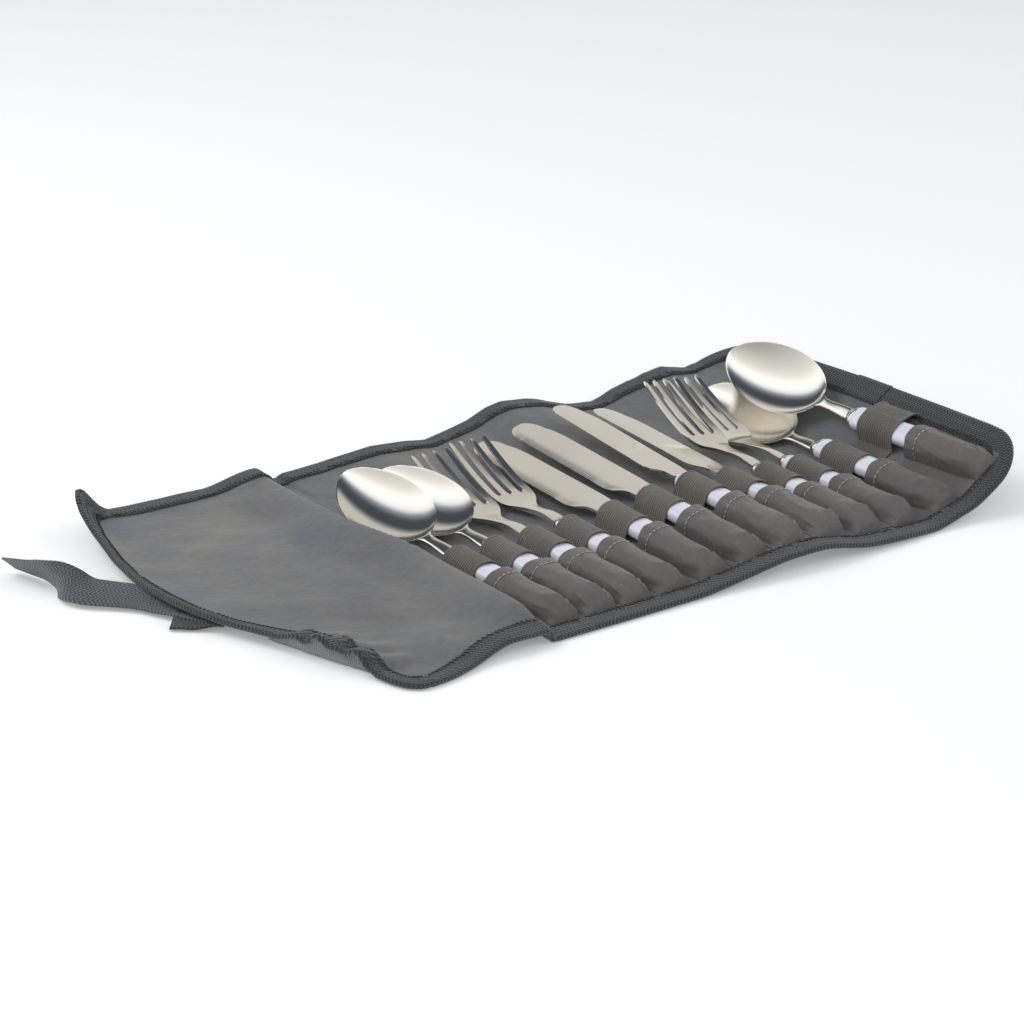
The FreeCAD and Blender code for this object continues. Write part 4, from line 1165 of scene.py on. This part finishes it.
def drop_loose_points(obj):
    """Removes grid points that no kept cell uses."""
    edit = bmesh.new()
    edit.from_mesh(obj.data)
    loose = [vert for vert in edit.verts if not vert.link_faces]
    bmesh.ops.delete(edit, geom=loose, context="VERTS")
    edit.to_mesh(obj.data)
    edit.free()


def round_edges(obj, width, angle):
    bevel = obj.modifiers.new("soft_edges", "BEVEL")
    bevel.width = width * MM
    bevel.segments = 2
    bevel.limit_method = "ANGLE"
    bevel.angle_limit = math.radians(angle)
    bevel.harden_normals = True


HEADS = {"knife": make_knife(), "fork": make_fork(), "spoon": make_spoon()}
for piece in PIECES:
    grip_matrix, head_matrix = place_piece(piece)
    kind = piece.name[:-1]
    builder = HEADS[kind].moved(head_matrix)
    if kind != "knife":
        builder.tube(transform(grip_matrix, collar_rings()))
    steel = builder.to_object(piece.name + "_steel", [STEEL], 55)
    drop_loose_points(steel)
    if kind == "fork":
        round_edges(steel, width=0.32, angle=48)
    elif kind == "knife":
        round_edges(steel, width=0.14, angle=55)
    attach(steel, piece.name)
    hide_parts(piece.name + "_head")
    rings = grip_rings()
    builder = MeshBuilder()
    builder.tube(transform(grip_matrix, rings), rings[..., :2])
    grip = builder.to_object(piece.name + "_grip", [PLASTIC], 60)
    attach(grip, piece.name)
    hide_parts(piece.name + "_handle")


# ------------------------------------------------------------------ ties
def make_strap(name, material, centre, half_widths, rolls, thickness):
    """Strap along a centre line; widths and rolls (degrees) are tables over 0..1 of it."""
    line = spline(centre, 1.2)
    s = np.linspace(0, 1, len(line))
    half_width = interp(half_widths, s)
    roll = blur(np.radians(interp(rolls, s)), 2.2, 1, 6)[:, None]
    tangent = unit(np.gradient(line, axis=0))
    side = unit(np.cross(tangent, np.array([0, 0, 1.0])))
    above = np.cross(side, tangent)
    width_dir = side * np.cos(roll) - above * np.sin(roll)
    normal = side * np.sin(roll) + above * np.cos(roll)
    across = np.linspace(-1, 1, 15)
    curl = 0.5 * (across ** 2)[None, :] * np.sin(s * 9.0)[:, None]
    spread = across[None, :, None] * half_width[:, None, None]
    top = (line[:, None, :] + width_dir[:, None, :] * spread
           + normal[:, None, :] * (thickness / 2 + curl[..., None]))
    low = top - normal[:, None, :] * thickness
    uv = np.stack(np.broadcast_arrays(arc_length(line)[:, None],
                                      (across * half_width.mean())[None, :]), -1)
    builder = MeshBuilder()
    builder.slab(top, low, uv)
    return builder.to_object(name, [material], 60)


long_tie = make_strap(
    "tie_long_webbing", WEBBING,
    centre=[(-146.0, -20.0, 3.6), (-151.5, -9.0, 3.2), (-156.0, 2.0, 3.2), (-159.7, 10.0, 3.6),
            (-164.5, 19.0, 4.4), (-171.0, 26.5, 5.2), (-178.5, 33.0, 6.0), (-186.0, 40.0, 6.8),
            (-191.0, 49.0, 8.4), (-192.8, 61.0, 8.8), (-195.0, 74.0, 8.2), (-198.6, 86.0, 7.2),
            (-202.0, 96.0, 6.4)],
    half_widths=[(0, 8.4), (0.3, 8.8), (0.6, 9.0), (0.8, 8.6), (0.92, 7.4), (1.0, 5.6)],
    rolls=[(0, 0), (0.14, 0), (0.26, -12), (0.5, -20), (0.58, -24), (0.66, -62), (0.74, -108),
           (0.84, -128), (1.0, -136)],
    thickness=1.15)
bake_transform(long_tie)
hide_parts("tie_long")

# The short tie's darker webbing colours are painted shade from the flap over it.
short_tie = make_strap(
    "tie_short_webbing", WEBBING_PAINTED_SHADE,
    centre=[(-143.0, -23.0, 3.4), (-150.0, -18.2, 3.0), (-157.0, -12.7, 2.6),
            (-163.5, -7.4, 2.4)],
    half_widths=[(0, 8.6), (1, 9.0)],
    rolls=[(0, 0), (0.5, -3), (1, -8)],
    thickness=1.3)
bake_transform(short_tie)
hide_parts("tie_short")

# ------------------------------------------------------------------ studio (metres)
scene = bpy.context.scene


def make_floor():
    mesh = bpy.data.meshes.new("floor")
    mesh.from_pydata([(-6, -6, 0), (6, -6, 0), (6, 6, 0), (-6, 6, 0)], [], [(0, 1, 2, 3)])
    floor = bpy.data.objects.new("floor", mesh)
    scene.collection.objects.link(floor)
    mesh.materials.append(Shader("floor_white").finish(
        Base_Color=(0.93, 0.93, 0.93, 1), Roughness=0.9,
        Emission_Color=(1, 1, 1, 1), Emission_Strength=0.20))
    floor.location.z = -0.0002


# (position on the arc, colour) of the surroundings seen in reflections
SKY_STOPS = [(0.0, (0.72, 0.71, 0.68)), (0.125, (0.69, 0.68, 0.65)), (0.17, (0.30, 0.31, 0.33)),
             (0.205, (0.06, 0.068, 0.088)), (0.34, (0.075, 0.088, 0.115)),
             (0.41, (0.32, 0.35, 0.41)), (0.46, (1.15, 1.2, 1.3)), (0.58, (1.5, 1.5, 1.5)),
             (0.72, (1.0, 1.0, 1.0)), (1.0, (0.5, 0.5, 0.5))]
TO_CAMERA_X, TO_CAMERA_Y = -0.574, -0.819  # plan direction towards the camera
ARC_LEAN = 0.42  # how far the arc leans to the camera's left


def make_world():
    """White to the camera, an even grey for diffuse light, a banded sky in reflections."""
    world = bpy.data.worlds.new("studio")
    scene.world = world
    world.use_nodes = True
    tree = world.node_tree
    background = tree.nodes["Background"]

    def math_node(operation, first, second):
        node = tree.nodes.new("ShaderNodeMath")
        node.operation = operation
        set_or_link(tree, node.inputs[0], first)
        set_or_link(tree, node.inputs[1], second)
        return node.outputs[0]

    def mix_node(fac, first, second):
        node = tree.nodes.new("ShaderNodeMix")
        node.data_type = "RGBA"
        for i, value in ((0, fac), (6, first), (7, second)):
            set_or_link(tree, node.inputs[i], value)
        return node.outputs[2]

    coords = tree.nodes.new("ShaderNodeTexCoord")
    axes = tree.nodes.new("ShaderNodeSeparateXYZ")
    tree.links.new(coords.outputs["Generated"], axes.inputs[0])
    ramp = tree.nodes.new("ShaderNodeValToRGB")
    while len(ramp.color_ramp.elements) < len(SKY_STOPS):
        ramp.color_ramp.elements.new(0.5)
    for element, (position, colour) in zip(ramp.color_ramp.elements, SKY_STOPS):
        element.position, element.color = position, (*colour, 1)
    # position along an arc from the far horizon over the top to the camera's side
    part_x = math_node("MULTIPLY", axes.outputs[0], TO_CAMERA_X + ARC_LEAN * TO_CAMERA_Y)
    part_y = math_node("MULTIPLY", axes.outputs[1], TO_CAMERA_Y - ARC_LEAN * TO_CAMERA_X)
    arc = math_node("MULTIPLY", math_node("ADD", part_x, part_y), 0.5)
    tree.links.new(math_node("ADD", arc, 0.5), ramp.inputs[0])
    rays = tree.nodes.new("ShaderNodeLightPath")
    light = mix_node(rays.outputs["Is Glossy Ray"], (0.50, 0.505, 0.52, 1), ramp.outputs[0])
    seen = mix_node(rays.outputs["Is Camera Ray"], light, (1, 1, 1, 1))
    tree.links.new(seen, background.inputs[0])
    background.inputs[1].default_value = 1.0


def add_area_light(name, location, size, energy):
    """Soft light aimed at the wrap, hidden from reflections."""
    data = bpy.data.lights.new(name, "AREA")
    data.shape = "RECTANGLE"
    data.size, data.size_y = size
    data.energy = energy
    lamp = bpy.data.objects.new(name, data)
    scene.collection.objects.link(lamp)
    lamp.location = location
    lamp.rotation_mode = "QUATERNION"
    aim = Vector((0.07, 0, 0)) - Vector(location)
    lamp.rotation_quaternion = aim.to_track_quat("-Z", "Y")
    lamp.visible_glossy = False


def make_camera():
    data = bpy.data.cameras.new("camera")
    camera = bpy.data.objects.new("camera", data)
    scene.collection.objects.link(camera)
    azimuth, elevation = math.radians(-35.0), math.radians(21.5)
    back = Vector((math.sin(azimuth) * math.cos(elevation),
                   -math.cos(azimuth) * math.cos(elevation), math.sin(elevation)))
    target, distance = Vector((0.057, 0.020, 0.0)), 1.404
    camera.location = target + back * distance
    camera.rotation_mode = "QUATERNION"
    camera.rotation_quaternion = (-back).to_track_quat("-Z", "Y")
    data.sensor_width = 36.0
    data.lens = 91.40625
    data.clip_start, data.clip_end = 0.05, 20.0
    scene.camera = camera


make_floor()
make_world()
add_area_light("key_soft", (-0.9, 0.9, 1.5), size=(1.4, 1.0), energy=15.0)
add_area_light("fill_soft", (1.2, -1.0, 1.2), size=(1.2, 1.0), energy=4.5)
add_area_light("front_soft", (-0.9, -1.2, 0.9), size=(1.0, 0.8), energy=3.5)
make_camera()
scene.view_settings.view_transform = "Standard"
